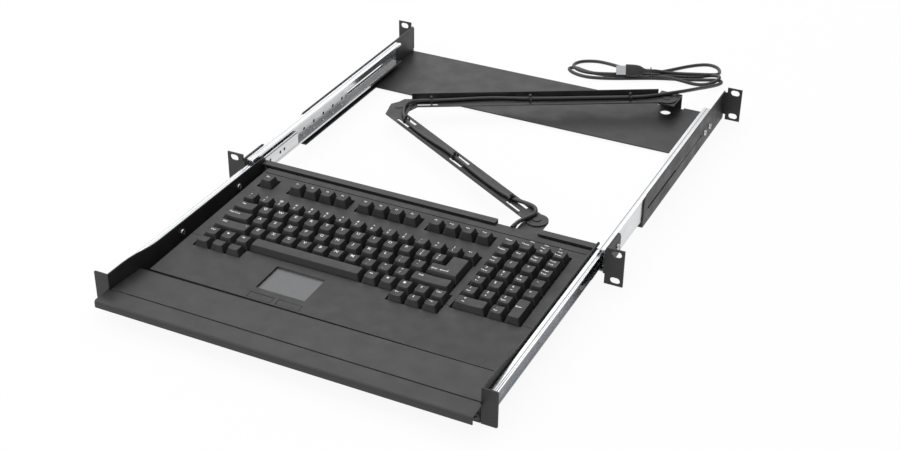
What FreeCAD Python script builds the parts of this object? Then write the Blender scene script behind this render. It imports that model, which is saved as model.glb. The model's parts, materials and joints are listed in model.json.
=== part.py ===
import FreeCAD, Part
import math
import os
import re
import Sketcher

# Driving dimensions, in millimetres and degrees.
# X runs to the right, Y to the rear and Z up, from the middle of the front rack holes.
sizes = {
    # Rack interface
    "panel_width": 482.6,
    "panel_height": 43.7,
    "rack_hole_inset": 8.75,
    "rack_hole_pitch": 31.75,
    "rack_slot_length": 11.0,
    "rack_slot_width": 7.4,
    "rack_depth": 423.5,
    "rack_ear": 22.6,
    "cut_over": 1.0,
    # Brackets
    "bracket_sheet": 2.0,
    "bracket_leg": 47.0,
    "bracket_leg_top": 14.5,
    "bracket_leg_bottom": -10.0,
    "bracket_chamfer": 4.0,
    "pan_sheet": 1.5,
    "pan_bottom": -20.0,
    "pan_top": 15.0,
    "pan_front": 300.0,
    "flange_front": 121.0,
    "flange_lip": 8.0,
    "flange_corner": 7.0,
    "ear_neck": 2.6,
    "ear_relief": 7.0,
    "adjust_slot_front": 135.0,
    "adjust_slot_setback": 12.0,
    "adjust_slot_height": -2.0,
    "adjust_slot_width": 3.2,
    "access_hole": 13.0,
    "arm_tab_width": 28.0,
    "arm_tab_depth": 36.0,
    "tab_relief": 4.0,
    "clamp_screw_setback": 6.5,
    "clamp_screw_pitch": 19.0,
    "clamp_screw_height": -4.0,
    "bracket_screw_first": 14.0,
    "bracket_screw_second": 37.0,
    "screw_shank": 4.0,
    "screw_clearance": 0.3,
    "screw_head": 7.4,
    "screw_head_height": 2.2,
    "screw_tail": 2.0,
    # Ball slides
    "slide_length": 365.0,
    "slide_mid": 2.5,
    "slide_sheet": 1.2,
    "outer_front": 3.5,
    "outer_height": 27.4,
    "outer_depth": 9.3,
    "outer_lip": 1.4,
    "inner_height": 16.9,
    "inner_depth": 9.6,
    "inner_rear": 96.0,
    "web_slot_setback": 38.5,
    "web_slot_length": 94.0,
    "web_slot_width": 6.0,
    "web_slot_drop": 4.0,
    "inner_hole": 4.0,
    "inner_hole_near": 31.0,
    "inner_hole_mid": 40.0,
    "inner_hole_far": 62.0,
    "cage_sheet": 0.6,
    "cage_length": 218.0,
    "cage_rear": 227.0,
    "cage_web_gap": 0.6,
    "cage_hole": 4.4,
    "cage_hole_drop": 4.0,
    "cage_hole_pitch": 23.3,
    "cage_hole_offset": 7.0,
    "ball_offset": 12.8,
    "cage_flange": 6.4,
    "ball_gap": 0.3,
    "ball_seat": 0.2,
    "ball_inset": 3.0,
    "lever_length": 62.0,
    "lever_height": 4.6,
    "lever_thick": 3.0,
    "lever_pivot": 26.0,
    "lever_pin": 4.0,
    "lever_play": 0.3,
    "lever_thumb": 9.0,
    # Tray
    "slide_room": 12.7,
    "tray_sheet": 1.2,
    "tray_front": -271.0,
    "tray_rear": 23.0,
    "tray_bottom": -19.5,
    "wall_front_top": 21.2,
    "wall_top": 14.1,
    "wall_curve_front": -250.0,
    "wall_curve_rear": -180.0,
    "wall_corner": 6.0,
    "tray_ear": 15.7,
    "front_wall_top": 3.0,
    "corner_gap": 0.6,
    "rear_lip_top": 8.6,
    "rear_lip_depth": 9.5,
    "rear_lip_hem": 2.6,
    "notch_left": 88.9,
    "notch_right": 139.0,
    "notch_bottom": -4.0,
    "wall_screw_first": -145.0,
    "wall_screw_second": -35.0,
    # Palm apron and pull handle
    "apron_sheet": 1.2,
    "apron_front_gap": 0.5,
    "apron_rear": -220.6,
    "apron_drop": 3.6,
    "handle_sheet": 1.2,
    "handle_reach": 22.0,
    "handle_top": 4.0,
    "handle_lip": 8.5,
    "handle_bottom": -18.5,
    "handle_round": 3.0,
    "handle_overhang": 2.6,
    "handle_screw_inset": 6.4,
    "handle_screw_z": -10.9,
    "handle_screw_head": 9.0,
    # Keyboard housing, measured on its tilted deck
    "deck_tilt": 1.3,
    "deck_rise": 7.0,
    "deck_gap_left": 13.0,
    "deck_gap_right": 5.0,
    "deck_front": -219.5,
    "deck_rear": 18.5,
    "bezel_sheet": 2.5,
    "bezel_skirt": 8.0,
    "bezel_wall": 2.0,
    "well_gap": 0.6,
    "rear_groove": 1.2,
    "ledge_depth": 9.5,
    "ledge_drop": 2.0,
    "guide_plate": 2.0,
    "guide_play": 0.3,
    "membrane": 1.0,
    "base_top": -12.0,
    "base_rim": 6.0,
    "board_length": 60.0,
    "board_depth": 26.0,
    "board_thick": 1.6,
    "board_inset": 40.0,
    "board_gap": 2.0,
    # Touch pad
    "pad_left": -78.0,
    "pad_width": 57.0,
    "pad_rear": -158.5,
    "pad_depth": 41.5,
    "pad_recess": 1.0,
    "pad_gap": 0.3,
    "button_width": 27.0,
    "button_spacing": 33.0,
    "button_rear": -208.5,
    "button_depth": 8.6,
    "button_height": 5.0,
    "led_inset": 27.6,
    "led_pitch": 16.0,
    "led_row": -5.5,
    "led_width": 4.0,
    "led_depth": 2.0,
    "led_height": 3.0,
    # Key caps
    "key_margin_left": 9.6,
    "key_margin_right": 12.4,
    "key_block_gap": 10.05,
    "key_gap": 0.85,
    "cap_skirt": 1.5,
    "cap_side_taper": 2.8,
    "cap_front_taper": 3.6,
    "cap_rear_taper": 1.4,
    "cap_wall": 1.4,
    "cap_roof": 2.2,
    "cap_dish_radius": 26.0,
    "cap_dish_depth": 0.9,
    "post_width": 5.0,
    "post_bottom": -7.0,
    "cap_tall": 11.5,
    "cap_high": 10.4,
    "cap_mid": 9.6,
    "cap_low": 9.4,
    "function_row": -20.5,
    "number_row": -61.0,
    "keypad_row": -22.3,
    "lower_offset": 0.2,
    # Cable arm
    "arm_sheet": 1.2,
    "arm_width": 22.0,
    "arm_end_radius": 13.0,
    "arm_play": 0.3,
    "rear_link_floor": -0.2,
    "elbow_offset": 13.0,
    "elbow_reach": 12.4,
    "elbow_shoulder": 8.7,
    "elbow_slope_start": 7.4,
    "elbow_slope_drop": 19.8,
    "front_rim_start": 22.0,
    "front_rim_setback": 36.0,
    "front_rim_height": 3.2,
    "rear_rim_start": 9.0,
    "rear_rim_setback": 17.0,
    "rear_rim_height": 8.0,
    "arm_slot_length": 25.5,
    "arm_slot_width": 4.0,
    "arm_slot_offset": 5.5,
    "front_slot_start": 25.5,
    "front_slot_pitch": 117.5,
    "rear_slot_start": 39.0,
    "rear_slot_pitch": 125.5,
    "fixed_pivot_x": 151.5,
    "fixed_pivot_y": 402.0,
    "elbow_x": -137.4,
    "elbow_y": 224.8,
    "tray_pivot_x": 122.9,
    "tray_pivot_y": 49.5,
    "rivet_shank": 6.0,
    "rivet_head": 9.0,
    "rivet_head_height": 0.7,
    "rivet_fit": 0.05,
    "tie_width": 2.6,
    "tie_thick": 1.0,
    "tie_gap": 0.2,
    "tie_head": 4.4,
    # Cable
    "cord_diameter": 4.6,
    "cord_rise": 0.1,
    "cord_exit_x": 107.5,
    "relief_drop": 3.0,
    "relief_radius": 2.9,
    "relief_length": 7.5,
    "plug_shell_width": 4.5,
    "plug_shell_height": 12.0,
    "plug_shell_length": 12.5,
    "plug_body_width": 9.0,
    "plug_body_height": 16.0,
    "plug_body_length": 27.5,
    "plug_x": -44.0,
    "plug_y": -27.0,
    "hank_length": 206.0,
    "hank_width": 74.0,
    "hank_waist": 14.0,
    "hank_height": 6.4,
    "hank_x": 88.5,
    "hank_y": 513.0,
    "hank_turn": 23.3,
    "hank_tie_x": 1.0,
    "hank_tie_y": -21.5,
    "hank_tie_width": 4.0,
    "ground": -21.8,
}

# Sizes that follow from the ones above. The keys fill the width that the tray leaves them,
# fifteen pitches for the main block and four for the keypad.
main_units = 15
keypad_units = 4
tied_sizes = {
    "rack_hole_span": "panel_width - 2 * rack_hole_inset",
    "bay_half": "panel_width / 2 - rack_ear",
    "tray_half": "bay_half - slide_room",
    "tray_ear_reach": "tray_half + tray_ear",
    "handle_screw_x": "tray_half - handle_screw_inset",
    "clamp_screw_second": "outer_front + slide_length - clamp_screw_setback",
    "clamp_screw_first": "clamp_screw_second - clamp_screw_pitch",
    "web_slot_rear": "outer_front + slide_length - web_slot_setback",
    "web_slot_front": "web_slot_rear - web_slot_length",
    "adjust_slot_rear": "clamp_screw_first - adjust_slot_setback",
    "deck_left": "deck_gap_left - tray_half",
    "deck_right": "tray_half - deck_gap_right",
    "main_left": "deck_left + key_margin_left",
    "keypad_right": "deck_right - key_margin_right",
    "key_pitch": "(keypad_right - main_left - key_block_gap) / %d" % (main_units + keypad_units),
    "keypad_left": "keypad_right - %d * key_pitch" % keypad_units,
    "led_first": "keypad_left + led_inset",
}

doc = FreeCAD.newDocument("RackKeyboardShelf")
sheet = doc.addObject("Spreadsheet::Sheet", "Dimensions")
cells = list(sizes.items())
cells += [(alias, "=" + formula) for alias, formula in tied_sizes.items()]
for row, (alias, value) in enumerate(cells, start=1):
    sheet.set("A%d" % row, alias)
    sheet.set("B%d" % row, str(value))
    sheet.setAlias("B%d" % row, alias)
doc.recompute()
size_names = [alias for alias, value in cells]

nodes = []
along = {
    "x": FreeCAD.Rotation(FreeCAD.Vector(0, 1, 0), 90),
    "y": FreeCAD.Rotation(FreeCAD.Vector(1, 0, 0), -90),
    "z": FreeCAD.Rotation(),
}
upright = FreeCAD.Rotation(FreeCAD.Vector(1, 0, 0), 90)


def bound(text):
    """Write a size expression with the sheet's name before each size."""
    def named(match):
        word = match.group(0)
        return "Dimensions." + word if word in size_names else word
    return re.sub(r"[a-z][a-z_]*", named, str(text))


def bind(item, prop, text):
    item.setExpression(prop, bound(text))


def measure(text):
    """The number that a size expression stands for now."""
    return float(sheet.evalExpression(bound(text)))


def place(item, x, y, z):
    for axis, text in zip("xyz", (x, y, z)):
        bind(item, "Placement.Base." + axis, text)
    return item


def block(x0, x1, y0, y1, z0, z1):
    item = doc.addObject("Part::Box", "Block")
    bind(item, "Length", "(%s) - (%s)" % (x1, x0))
    bind(item, "Width", "(%s) - (%s)" % (y1, y0))
    bind(item, "Height", "(%s) - (%s)" % (z1, z0))
    return place(item, x0, y0, z0)


def side_block(side, x0, x1, y0, y1, z0, z1):
    """A block on the right for side 1, or its mirror image on the left for side -1."""
    if side > 0:
        return block(x0, x1, y0, y1, z0, z1)
    return block("-(%s)" % x1, "-(%s)" % x0, y0, y1, z0, z1)


def rod(axis, x, y, z, radius, length):
    item = doc.addObject("Part::Cylinder", "Rod")
    bind(item, "Radius", radius)
    bind(item, "Height", length)
    item.Placement = FreeCAD.Placement(FreeCAD.Vector(), along[axis])
    return place(item, x, y, z)


def side_rod(side, x0, x1, y, z, radius):
    """A rod along X between two distances from the middle plane."""
    start = x0 if side > 0 else "-(%s)" % x1
    return rod("x", start, y, z, radius, "(%s) - (%s)" % (x1, x0))


def fuse(*items):
    item = doc.addObject("Part::MultiFuse", "Fuse")
    item.Shapes = list(items)
    item.Refine = True
    return item


def cut(base, *tools):
    item = doc.addObject("Part::Cut", "Cut")
    item.Base = base
    item.Tool = tools[0] if len(tools) == 1 else fuse(*tools)
    item.Refine = True
    return item


def group(*items):
    item = doc.addObject("Part::Compound", "Group")
    item.Links = list(items)
    return item


def node(label, item):
    item.Label = label
    nodes.append(item)
    return item


def prism(plane, start, depth, outline):
    """Pad an outline of bound corners. A corner with a third value starts an arc
    whose centre has that first coordinate; a fourth is the centre's second one."""
    body = doc.addObject("PartDesign::Body", "Profile")
    sketch = body.newObject("Sketcher::SketchObject", "Outline")
    support = [item for item in body.Origin.OriginFeatures if item.Role == plane + "_Plane"]
    sketch.AttachmentSupport = [(support[0], "")]
    sketch.MapMode = "FlatFace"
    bind(sketch, "AttachmentOffset.Base.z", start)
    spots = [FreeCAD.Vector(measure(corner[0]), measure(corner[1]), 0) for corner in outline]
    first_ends = []
    last_ends = []
    for index, corner in enumerate(outline):
        here = spots[index]
        there = spots[(index + 1) % len(spots)]
        if len(corner) == 2:
            sketch.addGeometry(Part.LineSegment(here, there))
            first_ends.append(1)
            last_ends.append(2)
            continue
        middle = FreeCAD.Vector(measure(corner[2]), measure(corner[3]), 0)
        spread = (here - middle).cross(there - middle).z
        low, high = (here, there) if spread > 0 else (there, here)
        first = math.atan2(low.y - middle.y, low.x - middle.x)
        last = math.atan2(high.y - middle.y, high.x - middle.x)
        circle = Part.Circle(middle, FreeCAD.Vector(0, 0, 1), (here - middle).Length)
        sketch.addGeometry(Part.ArcOfCircle(circle, first, last if last > first else last + 2 * math.pi))
        first_ends.append(1 if spread > 0 else 2)
        last_ends.append(2 if spread > 0 else 1)
    for index, corner in enumerate(outline):
        after = (index + 1) % len(outline)
        sketch.addConstraint(Sketcher.Constraint("Coincident", index, last_ends[index], after,
                                                 first_ends[after]))
    for index, corner in enumerate(outline):
        for kind, value, text in (("DistanceX", spots[index].x, corner[0]),
                                  ("DistanceY", spots[index].y, corner[1])):
            held = sketch.addConstraint(Sketcher.Constraint(kind, -1, 1, index, first_ends[index], value))
            sketch.setExpression("Constraints[%d]" % held, bound(text))
        if len(corner) > 2:
            value = measure(corner[2])
            held = sketch.addConstraint(Sketcher.Constraint("DistanceX", -1, 1, index, 3, value))
            sketch.setExpression("Constraints[%d]" % held, bound(corner[2]))
    pad = body.newObject("PartDesign::Pad", "Pad")
    pad.Profile = sketch
    bind(pad, "Length", depth)
    return body


def side_profile(side, y0, y1, outline):
    """Pad a cross-section along Y, mirrored to the left for side -1."""
    turned = [("%d * (%s)" % (side, x), z) for x, z in outline]
    return prism("XZ", "-(%s)" % y1, "(%s) - (%s)" % (y1, y0), turned)


def slot_x(x, y0, y1, z0, z1, radius, z):
    """A slot that runs along X with round ends, cut through along Y."""
    left = "(%s) - rack_slot_length / 2 + rack_slot_width / 2" % x
    right = "(%s) + rack_slot_length / 2 - rack_slot_width / 2" % x
    depth = "(%s) - (%s)" % (y1, y0)
    return [
        block(left, right, y0, y1, z0, z1),
        rod("y", left, y0, z, radius, depth),
        rod("y", right, y0, z, radius, depth),
    ]


def rack_slots(side, y0, y1):
    """The two rack holes of one ear."""
    tools = []
    for level in (-1, 1):
        x = "%d * rack_hole_span / 2" % side
        z = "%d * rack_hole_pitch / 2" % level
        low = z + " - rack_slot_width / 2"
        high = z + " + rack_slot_width / 2"
        tools += slot_x(x, y0, y1, low, high, "rack_slot_width / 2", z)
    return tools


def screw(side, seat, y, z, way, length, head):
    """A pan-head screw along X with its head on the given seat. Its shank runs outward
    for way 1, and inward for way -1."""
    if way > 0:
        top = side_rod(side, "%s - screw_head_height" % seat, seat, y, z, head)
        shank = side_rod(side, seat, "%s + %s" % (seat, length), y, z, "screw_shank / 2")
    else:
        top = side_rod(side, seat, "%s + screw_head_height" % seat, y, z, head)
        shank = side_rod(side, "%s - (%s)" % (seat, length), seat, y, z, "screw_shank / 2")
    return fuse(top, shank)


# Front brackets: a rack ear with a leg along the slide
sides = {"left": -1, "right": 1}
screw_hole = "screw_shank / 2 + screw_clearance"
leg_face = "bay_half + bracket_sheet"
bracket_screws = []
for name, side in sides.items():
    leg = prism("YZ", "bay_half" if side > 0 else "-(%s)" % leg_face, "bracket_sheet", [
        ("0", "bracket_leg_bottom"),
        ("bracket_leg - bracket_chamfer", "bracket_leg_bottom"),
        ("bracket_leg", "bracket_leg_bottom + bracket_chamfer"),
        ("bracket_leg", "bracket_leg_top - bracket_chamfer"),
        ("bracket_leg - bracket_chamfer", "bracket_leg_top"),
        ("0", "bracket_leg_top"),
    ])
    ear = side_block(side, leg_face, "panel_width / 2", "0", "bracket_sheet",
                     "-panel_height / 2", "panel_height / 2")
    holes = rack_slots(side, "-cut_over", "bracket_sheet + cut_over")
    for spot in ("bracket_screw_first", "bracket_screw_second"):
        holes.append(side_rod(side, "bay_half - cut_over", leg_face + " + cut_over", spot, "slide_mid",
                              screw_hole))
        bracket_screws.append(screw(side, leg_face, spot, "slide_mid", -1, "(bracket_sheet + slide_sheet)",
                                    "screw_head / 2"))
    node("front_bracket_" + name, cut(fuse(leg, ear), *holes))

# Rear bracket: one folded pan with side flanges, rack ears and the tab for the cable arm
pan_half = "bay_half + pan_sheet"
pan_floor = "pan_bottom + pan_sheet"
tab_top = "rear_link_floor - arm_play"
tab_left = "fixed_pivot_x - arm_tab_width / 2"
tab_right = "fixed_pivot_x + arm_tab_width / 2"
pan_parts = [
    block("-(%s)" % pan_half, pan_half, "pan_front", "rack_depth", "pan_bottom", pan_floor),
    block(tab_left, tab_right, "rack_depth - pan_sheet", "rack_depth", "pan_bottom", tab_top),
    block(tab_left, tab_right, "rack_depth - arm_tab_depth", "rack_depth", tab_top + " - pan_sheet",
          tab_top),
]
pan_cuts = [rod("z", "fixed_pivot_x", "fixed_pivot_y", "pan_bottom - cut_over", "access_hole / 2",
                "pan_sheet + 2 * cut_over")]
for edge in ("%s - tab_relief" % tab_left, tab_right):
    pan_cuts.append(block(edge, edge + " + tab_relief", "rack_depth - tab_relief", "rack_depth + cut_over",
                          "pan_bottom - cut_over", pan_floor + " + cut_over"))
for name, side in sides.items():
    flange = prism("YZ", "bay_half" if side > 0 else "-(%s)" % pan_half, "pan_sheet", [
        ("flange_front", "pan_bottom"),
        ("rack_depth", "pan_bottom"),
        ("rack_depth", "pan_top"),
        ("flange_front + flange_corner", "pan_top", "flange_front + flange_corner",
         "pan_top - flange_corner"),
        ("flange_front", "pan_top - flange_corner"),
    ])
    lip = side_block(side, "bay_half - flange_lip", "bay_half", "flange_front", "pan_front",
                     "pan_bottom", pan_floor)
    neck = side_block(side, "bay_half", pan_half + " + ear_neck", "rack_depth", "rack_depth + pan_sheet",
                      "ear_relief - panel_height / 2", "panel_height / 2 - ear_relief")
    ear = side_block(side, pan_half + " + ear_neck", "panel_width / 2", "rack_depth",
                     "rack_depth + pan_sheet", "-panel_height / 2", "panel_height / 2")
    pan_parts += [flange, lip, neck, ear]
    pan_cuts += rack_slots(side, "rack_depth - cut_over", "rack_depth + pan_sheet + cut_over")
    pan_cuts.append(side_block(side, "bay_half - cut_over", pan_half + " + cut_over", "adjust_slot_front",
                               "adjust_slot_rear", "adjust_slot_height - adjust_slot_width / 2",
                               "adjust_slot_height + adjust_slot_width / 2"))
    for spot in ("clamp_screw_first", "clamp_screw_second"):
        pan_cuts.append(side_rod(side, "bay_half - cut_over", pan_half + " + cut_over", spot,
                                 "clamp_screw_height", screw_hole))
        bracket_screws.append(screw(side, pan_half, spot, "clamp_screw_height", -1,
                                    "(pan_sheet + slide_sheet)", "screw_head / 2"))
node("rear_bracket", cut(fuse(*pan_parts), *pan_cuts))
node("bracket_screws", group(*bracket_screws))

# Ball slides: outer channel, inner channel, and a cage of balls between them
outer_rear = "outer_front + slide_length"
outer_top = "slide_mid + outer_height / 2"
outer_low = "slide_mid - outer_height / 2"
lip_face = "bay_half - outer_depth"
inner_face = "tray_half + inner_depth"
inner_top = "slide_mid + inner_height / 2"
inner_low = "slide_mid - inner_height / 2"
inner_front = "inner_rear - slide_length"
race = "(outer_height / 2 - slide_sheet - inner_height / 2)"
ball_radius = "(%s / 2 - ball_gap)" % race
ball_level = "(inner_height / 2 + %s / 2)" % race
cage_face = inner_face + " + cage_web_gap"
cage_back = cage_face + " + cage_sheet"
cage_front = "cage_rear - cage_length"
ball_count = 9
for name, side in sides.items():
    channel = side_profile(side, "outer_front", outer_rear, [
        ("bay_half", outer_low),
        ("bay_half", outer_top),
        (lip_face, outer_top),
        (lip_face, outer_top + " - slide_sheet - outer_lip"),
        (lip_face + " + slide_sheet", outer_top + " - slide_sheet - outer_lip"),
        (lip_face + " + slide_sheet", outer_top + " - slide_sheet"),
        ("bay_half - slide_sheet", outer_top + " - slide_sheet"),
        ("bay_half - slide_sheet", outer_low + " + slide_sheet"),
        (lip_face + " + slide_sheet", outer_low + " + slide_sheet"),
        (lip_face + " + slide_sheet", outer_low + " + slide_sheet + outer_lip"),
        (lip_face, outer_low + " + slide_sheet + outer_lip"),
        (lip_face, outer_low),
    ])
    slot_level = "slide_mid - web_slot_drop"
    holes = [side_block(side, "bay_half - slide_sheet - cut_over", "bay_half + cut_over", "web_slot_front",
                        "web_slot_rear",
                        slot_level + " - web_slot_width / 2", slot_level + " + web_slot_width / 2")]
    for spot in ("bracket_screw_first", "bracket_screw_second"):
        holes.append(side_rod(side, "bay_half - slide_sheet - cut_over", "bay_half + cut_over", spot,
                              "slide_mid", screw_hole))
    for spot in ("clamp_screw_first", "clamp_screw_second"):
        holes.append(side_rod(side, "bay_half - slide_sheet - cut_over", "bay_half + cut_over", spot,
                              "clamp_screw_height", screw_hole))
    node("slide_outer_" + name, cut(channel, *holes))

    runner = side_profile(side, inner_front, "inner_rear", [
        ("tray_half", inner_low),
        ("tray_half", inner_top),
        (inner_face, inner_top),
        (inner_face, inner_top + " - slide_sheet"),
        ("tray_half + slide_sheet", inner_top + " - slide_sheet"),
        ("tray_half + slide_sheet", inner_low + " + slide_sheet"),
        (inner_face, inner_low + " + slide_sheet"),
        (inner_face, inner_low),
    ])
    holes = []
    for spot in ("inner_rear - inner_hole_far", "inner_rear - inner_hole_mid",
                 "inner_rear - inner_hole_near"):
        holes.append(side_rod(side, "tray_half - cut_over", "tray_half + slide_sheet + cut_over", spot,
                              "slide_mid", "inner_hole / 2"))
    for spot in ("wall_screw_first", "wall_screw_second"):
        holes.append(side_rod(side, "tray_half - cut_over", "tray_half + slide_sheet + cut_over", spot,
                              "slide_mid", screw_hole))
    pin = side_rod(side, "tray_half + slide_sheet",
                   "tray_half + slide_sheet + lever_thick + 2 * lever_play",
                   "lever_pivot", "slide_mid", "lever_pin / 2")
    node("slide_inner_" + name, fuse(cut(runner, *holes), pin))

    flange_top = "slide_mid + %s + cage_sheet / 2" % ball_level
    flange_low = "slide_mid - %s - cage_sheet / 2" % ball_level
    cage_edge = cage_back + " - cage_flange"
    strip = side_profile(side, cage_front, "cage_rear", [
        (cage_back, flange_low),
        (cage_back, flange_top),
        (cage_edge, flange_top),
        (cage_edge, flange_top + " - cage_sheet"),
        (cage_face, flange_top + " - cage_sheet"),
        (cage_face, flange_low + " + cage_sheet"),
        (cage_edge, flange_low + " + cage_sheet"),
        (cage_edge, flange_low),
    ])
    ball_x = "%d * (%s - ball_inset)" % (side, cage_face)
    windows = []
    balls = []
    for index in range(ball_count):
        ball_y = "cage_rear - ball_offset - %d * cage_hole_pitch" % index
        windows.append(side_rod(side, cage_face + " - cut_over", cage_back + " + cut_over",
                                "cage_rear - cage_hole_offset - %d * cage_hole_pitch" % index,
                                "slide_mid - cage_hole_drop", "cage_hole / 2"))
        for level in (-1, 1):
            ball_z = "slide_mid + %d * %s" % (level, ball_level)
            windows.append(rod("z", ball_x, ball_y, ball_z + " - cut_over", ball_radius + " + ball_seat",
                               "2 * cut_over"))
            ball = doc.addObject("Part::Sphere", "Ball")
            bind(ball, "Radius", ball_radius)
            balls.append(place(ball, ball_x, ball_y, ball_z))
    node("ball_cage_" + name, group(cut(strip, *windows), *balls))

    thumb = "lever_pivot - lever_length"
    bar = prism("YZ", "tray_half + slide_sheet + lever_play" if side > 0
                else "-(tray_half + slide_sheet + lever_play + lever_thick)", "lever_thick", [
        ("lever_pivot + lever_height", "slide_mid - lever_height / 2"),
        ("lever_pivot + lever_height", "slide_mid + lever_height / 2"),
        (thumb + " + lever_thumb", "slide_mid + lever_height / 2"),
        (thumb, "slide_mid + lever_height / 4"),
        (thumb, "slide_mid - lever_height"),
        (thumb + " + lever_thumb / 2", "slide_mid - lever_height"),
        (thumb + " + lever_thumb", "slide_mid - lever_height / 2"),
    ])
    eye = side_rod(side, "tray_half", "tray_half + slide_sheet + lever_thick + 2 * cut_over", "lever_pivot",
                   "slide_mid", "lever_pin / 2 + lever_play")
    node("release_lever_" + name, cut(bar, eye))

# Tray: folded sheet with curved side walls, front ears, a rear lip and the tab for the cable arm
floor_top = "tray_bottom + tray_sheet"
wall_in = "tray_half - tray_sheet"
flap_half = wall_in + " - corner_gap"
curve_drop = "(wall_front_top - wall_top)"
curve_run = "(wall_curve_rear - wall_curve_front)"
curve_radius = "((%s ^ 2 + %s ^ 2) / (4 * %s))" % (curve_run, curve_drop, curve_drop)
curve_mid_y = "(wall_curve_front + wall_curve_rear) / 2"
curve_mid_z = "(wall_front_top + wall_top) / 2"
tray_tab_top = "rear_link_floor + arm_sheet"
front_wall = "tray_front + handle_sheet"
lip_low = "rear_lip_top - tray_sheet"
tray_parts = [
    block("-(%s)" % wall_in, wall_in, "tray_front + handle_sheet", "tray_rear", "tray_bottom", floor_top),
    block("-(%s)" % flap_half, flap_half, front_wall, front_wall + " + tray_sheet", "tray_bottom",
          "front_wall_top"),
    block("-(%s)" % flap_half, flap_half, "tray_rear - tray_sheet", "tray_rear", "tray_bottom",
          "rear_lip_top"),
    block("-(%s)" % flap_half, flap_half, "tray_rear - rear_lip_depth", "tray_rear", lip_low,
          "rear_lip_top"),
    block("-(%s)" % flap_half, flap_half, "tray_rear - rear_lip_depth",
          "tray_rear - rear_lip_depth + tray_sheet", "rear_lip_top - rear_lip_hem", "rear_lip_top"),
]
tray_cuts = [block("notch_left", "notch_right", "tray_rear - rear_lip_depth - cut_over",
                   "tray_rear + cut_over", "notch_bottom", "rear_lip_top + cut_over")]
wall_screws = []
for name, side in sides.items():
    wall = prism("YZ", wall_in if side > 0 else "-tray_half", "tray_sheet", [
        ("tray_front", "tray_bottom"),
        ("tray_rear", "tray_bottom"),
        ("tray_rear", "wall_top - wall_corner", "tray_rear - wall_corner", "wall_top - wall_corner"),
        ("tray_rear - wall_corner", "wall_top"),
        ("wall_curve_rear", "wall_top", "wall_curve_rear", "wall_top + " + curve_radius),
        (curve_mid_y, curve_mid_z, "wall_curve_front", "wall_front_top - " + curve_radius),
        ("wall_curve_front", "wall_front_top"),
        ("tray_front", "wall_front_top"),
    ])
    ear = side_block(side, wall_in, "tray_ear_reach", "tray_front", "tray_front + tray_sheet",
                     "tray_bottom", "wall_front_top")
    tray_parts += [wall, ear]
    for spot in ("wall_screw_first", "wall_screw_second"):
        tray_cuts.append(side_rod(side, wall_in + " - cut_over", "tray_half + cut_over", spot, "slide_mid",
                                  screw_hole))
        wall_screws.append(screw(side, wall_in, spot, "slide_mid", 1, "(tray_sheet + slide_sheet)",
                                 "screw_head / 2"))
    tray_cuts.append(rod("y", "%d * handle_screw_x" % side, front_wall + " - cut_over", "handle_screw_z",
                         screw_hole, "tray_sheet + 2 * cut_over"))
tab_low = tray_tab_top + " - tray_sheet"
tab_half = "arm_end_radius"
arm_tab = [
    block("tray_pivot_x - " + tab_half, "tray_pivot_x + " + tab_half, "tray_rear - tray_sheet",
          "tray_pivot_y", tab_low, tray_tab_top),
    block("tray_pivot_x - " + tab_half, "tray_pivot_x + " + tab_half, "tray_rear - tray_sheet", "tray_rear",
          "notch_bottom - tray_sheet", tray_tab_top),
    rod("z", "tray_pivot_x", "tray_pivot_y", tab_low, tab_half, "tray_sheet"),
]
tab_hole = rod("z", "tray_pivot_x", "tray_pivot_y", tab_low + " - cut_over", "rivet_shank / 2 + rivet_fit",
               "tray_sheet + 2 * cut_over")
node("tray", cut(fuse(cut(fuse(*tray_parts), *tray_cuts), *arm_tab), tab_hole))

# Palm apron: a sloping cover that stands on the tray's front wall and on its own rear leg
apron_front = front_wall + " + apron_front_gap"
apron_low = "front_wall_top - apron_drop"
node("palm_apron", prism("YZ", "-(%s)" % flap_half, "2 * (%s)" % flap_half, [
    (apron_front, "front_wall_top"),
    (apron_front + " + tray_sheet", "front_wall_top"),
    ("apron_rear - apron_sheet", apron_low),
    ("apron_rear - apron_sheet", floor_top),
    ("apron_rear", floor_top),
    ("apron_rear", apron_low + " + apron_sheet"),
    (apron_front, "front_wall_top + apron_sheet"),
]))

# Pull handle: a folded strip with a face plate screwed to the tray
handle_face = "tray_front + handle_sheet"
handle_nose = "tray_front - handle_reach"
handle_under = "handle_top - handle_sheet"
nose_half = flap_half + " + handle_overhang"
face_plate = block("-(%s)" % flap_half, flap_half, "tray_front", handle_face, "handle_bottom", "handle_top")
nose = prism("YZ", "-(%s)" % nose_half, "2 * (%s)" % nose_half, [
    ("tray_front", "handle_top"),
    (handle_nose + " + handle_round", "handle_top", handle_nose + " + handle_round",
     "handle_top - handle_round"),
    (handle_nose, "handle_top - handle_round"),
    (handle_nose, "handle_top - handle_lip"),
    (handle_nose + " + handle_sheet", "handle_top - handle_lip"),
    (handle_nose + " + handle_sheet", "handle_top - handle_round", handle_nose + " + handle_round",
     "handle_top - handle_round"),
    (handle_nose + " + handle_round", handle_under),
    ("tray_front", handle_under),
])
handle_holes = []
handle_screws = []
for side in sides.values():
    x = "%d * handle_screw_x" % side
    handle_holes.append(rod("y", x, "tray_front - cut_over", "handle_screw_z", screw_hole,
                            "handle_sheet + 2 * cut_over"))
    head = rod("y", x, "tray_front - screw_head_height", "handle_screw_z", "handle_screw_head / 2",
               "screw_head_height")
    shank = rod("y", x, "tray_front", "handle_screw_z", "screw_shank / 2",
                "handle_sheet + tray_sheet + screw_tail")
    handle_screws.append(fuse(head, shank))
node("pull_handle", cut(fuse(face_plate, nose), *handle_holes))
node("tray_screws", group(*wall_screws, *handle_screws))


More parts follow.
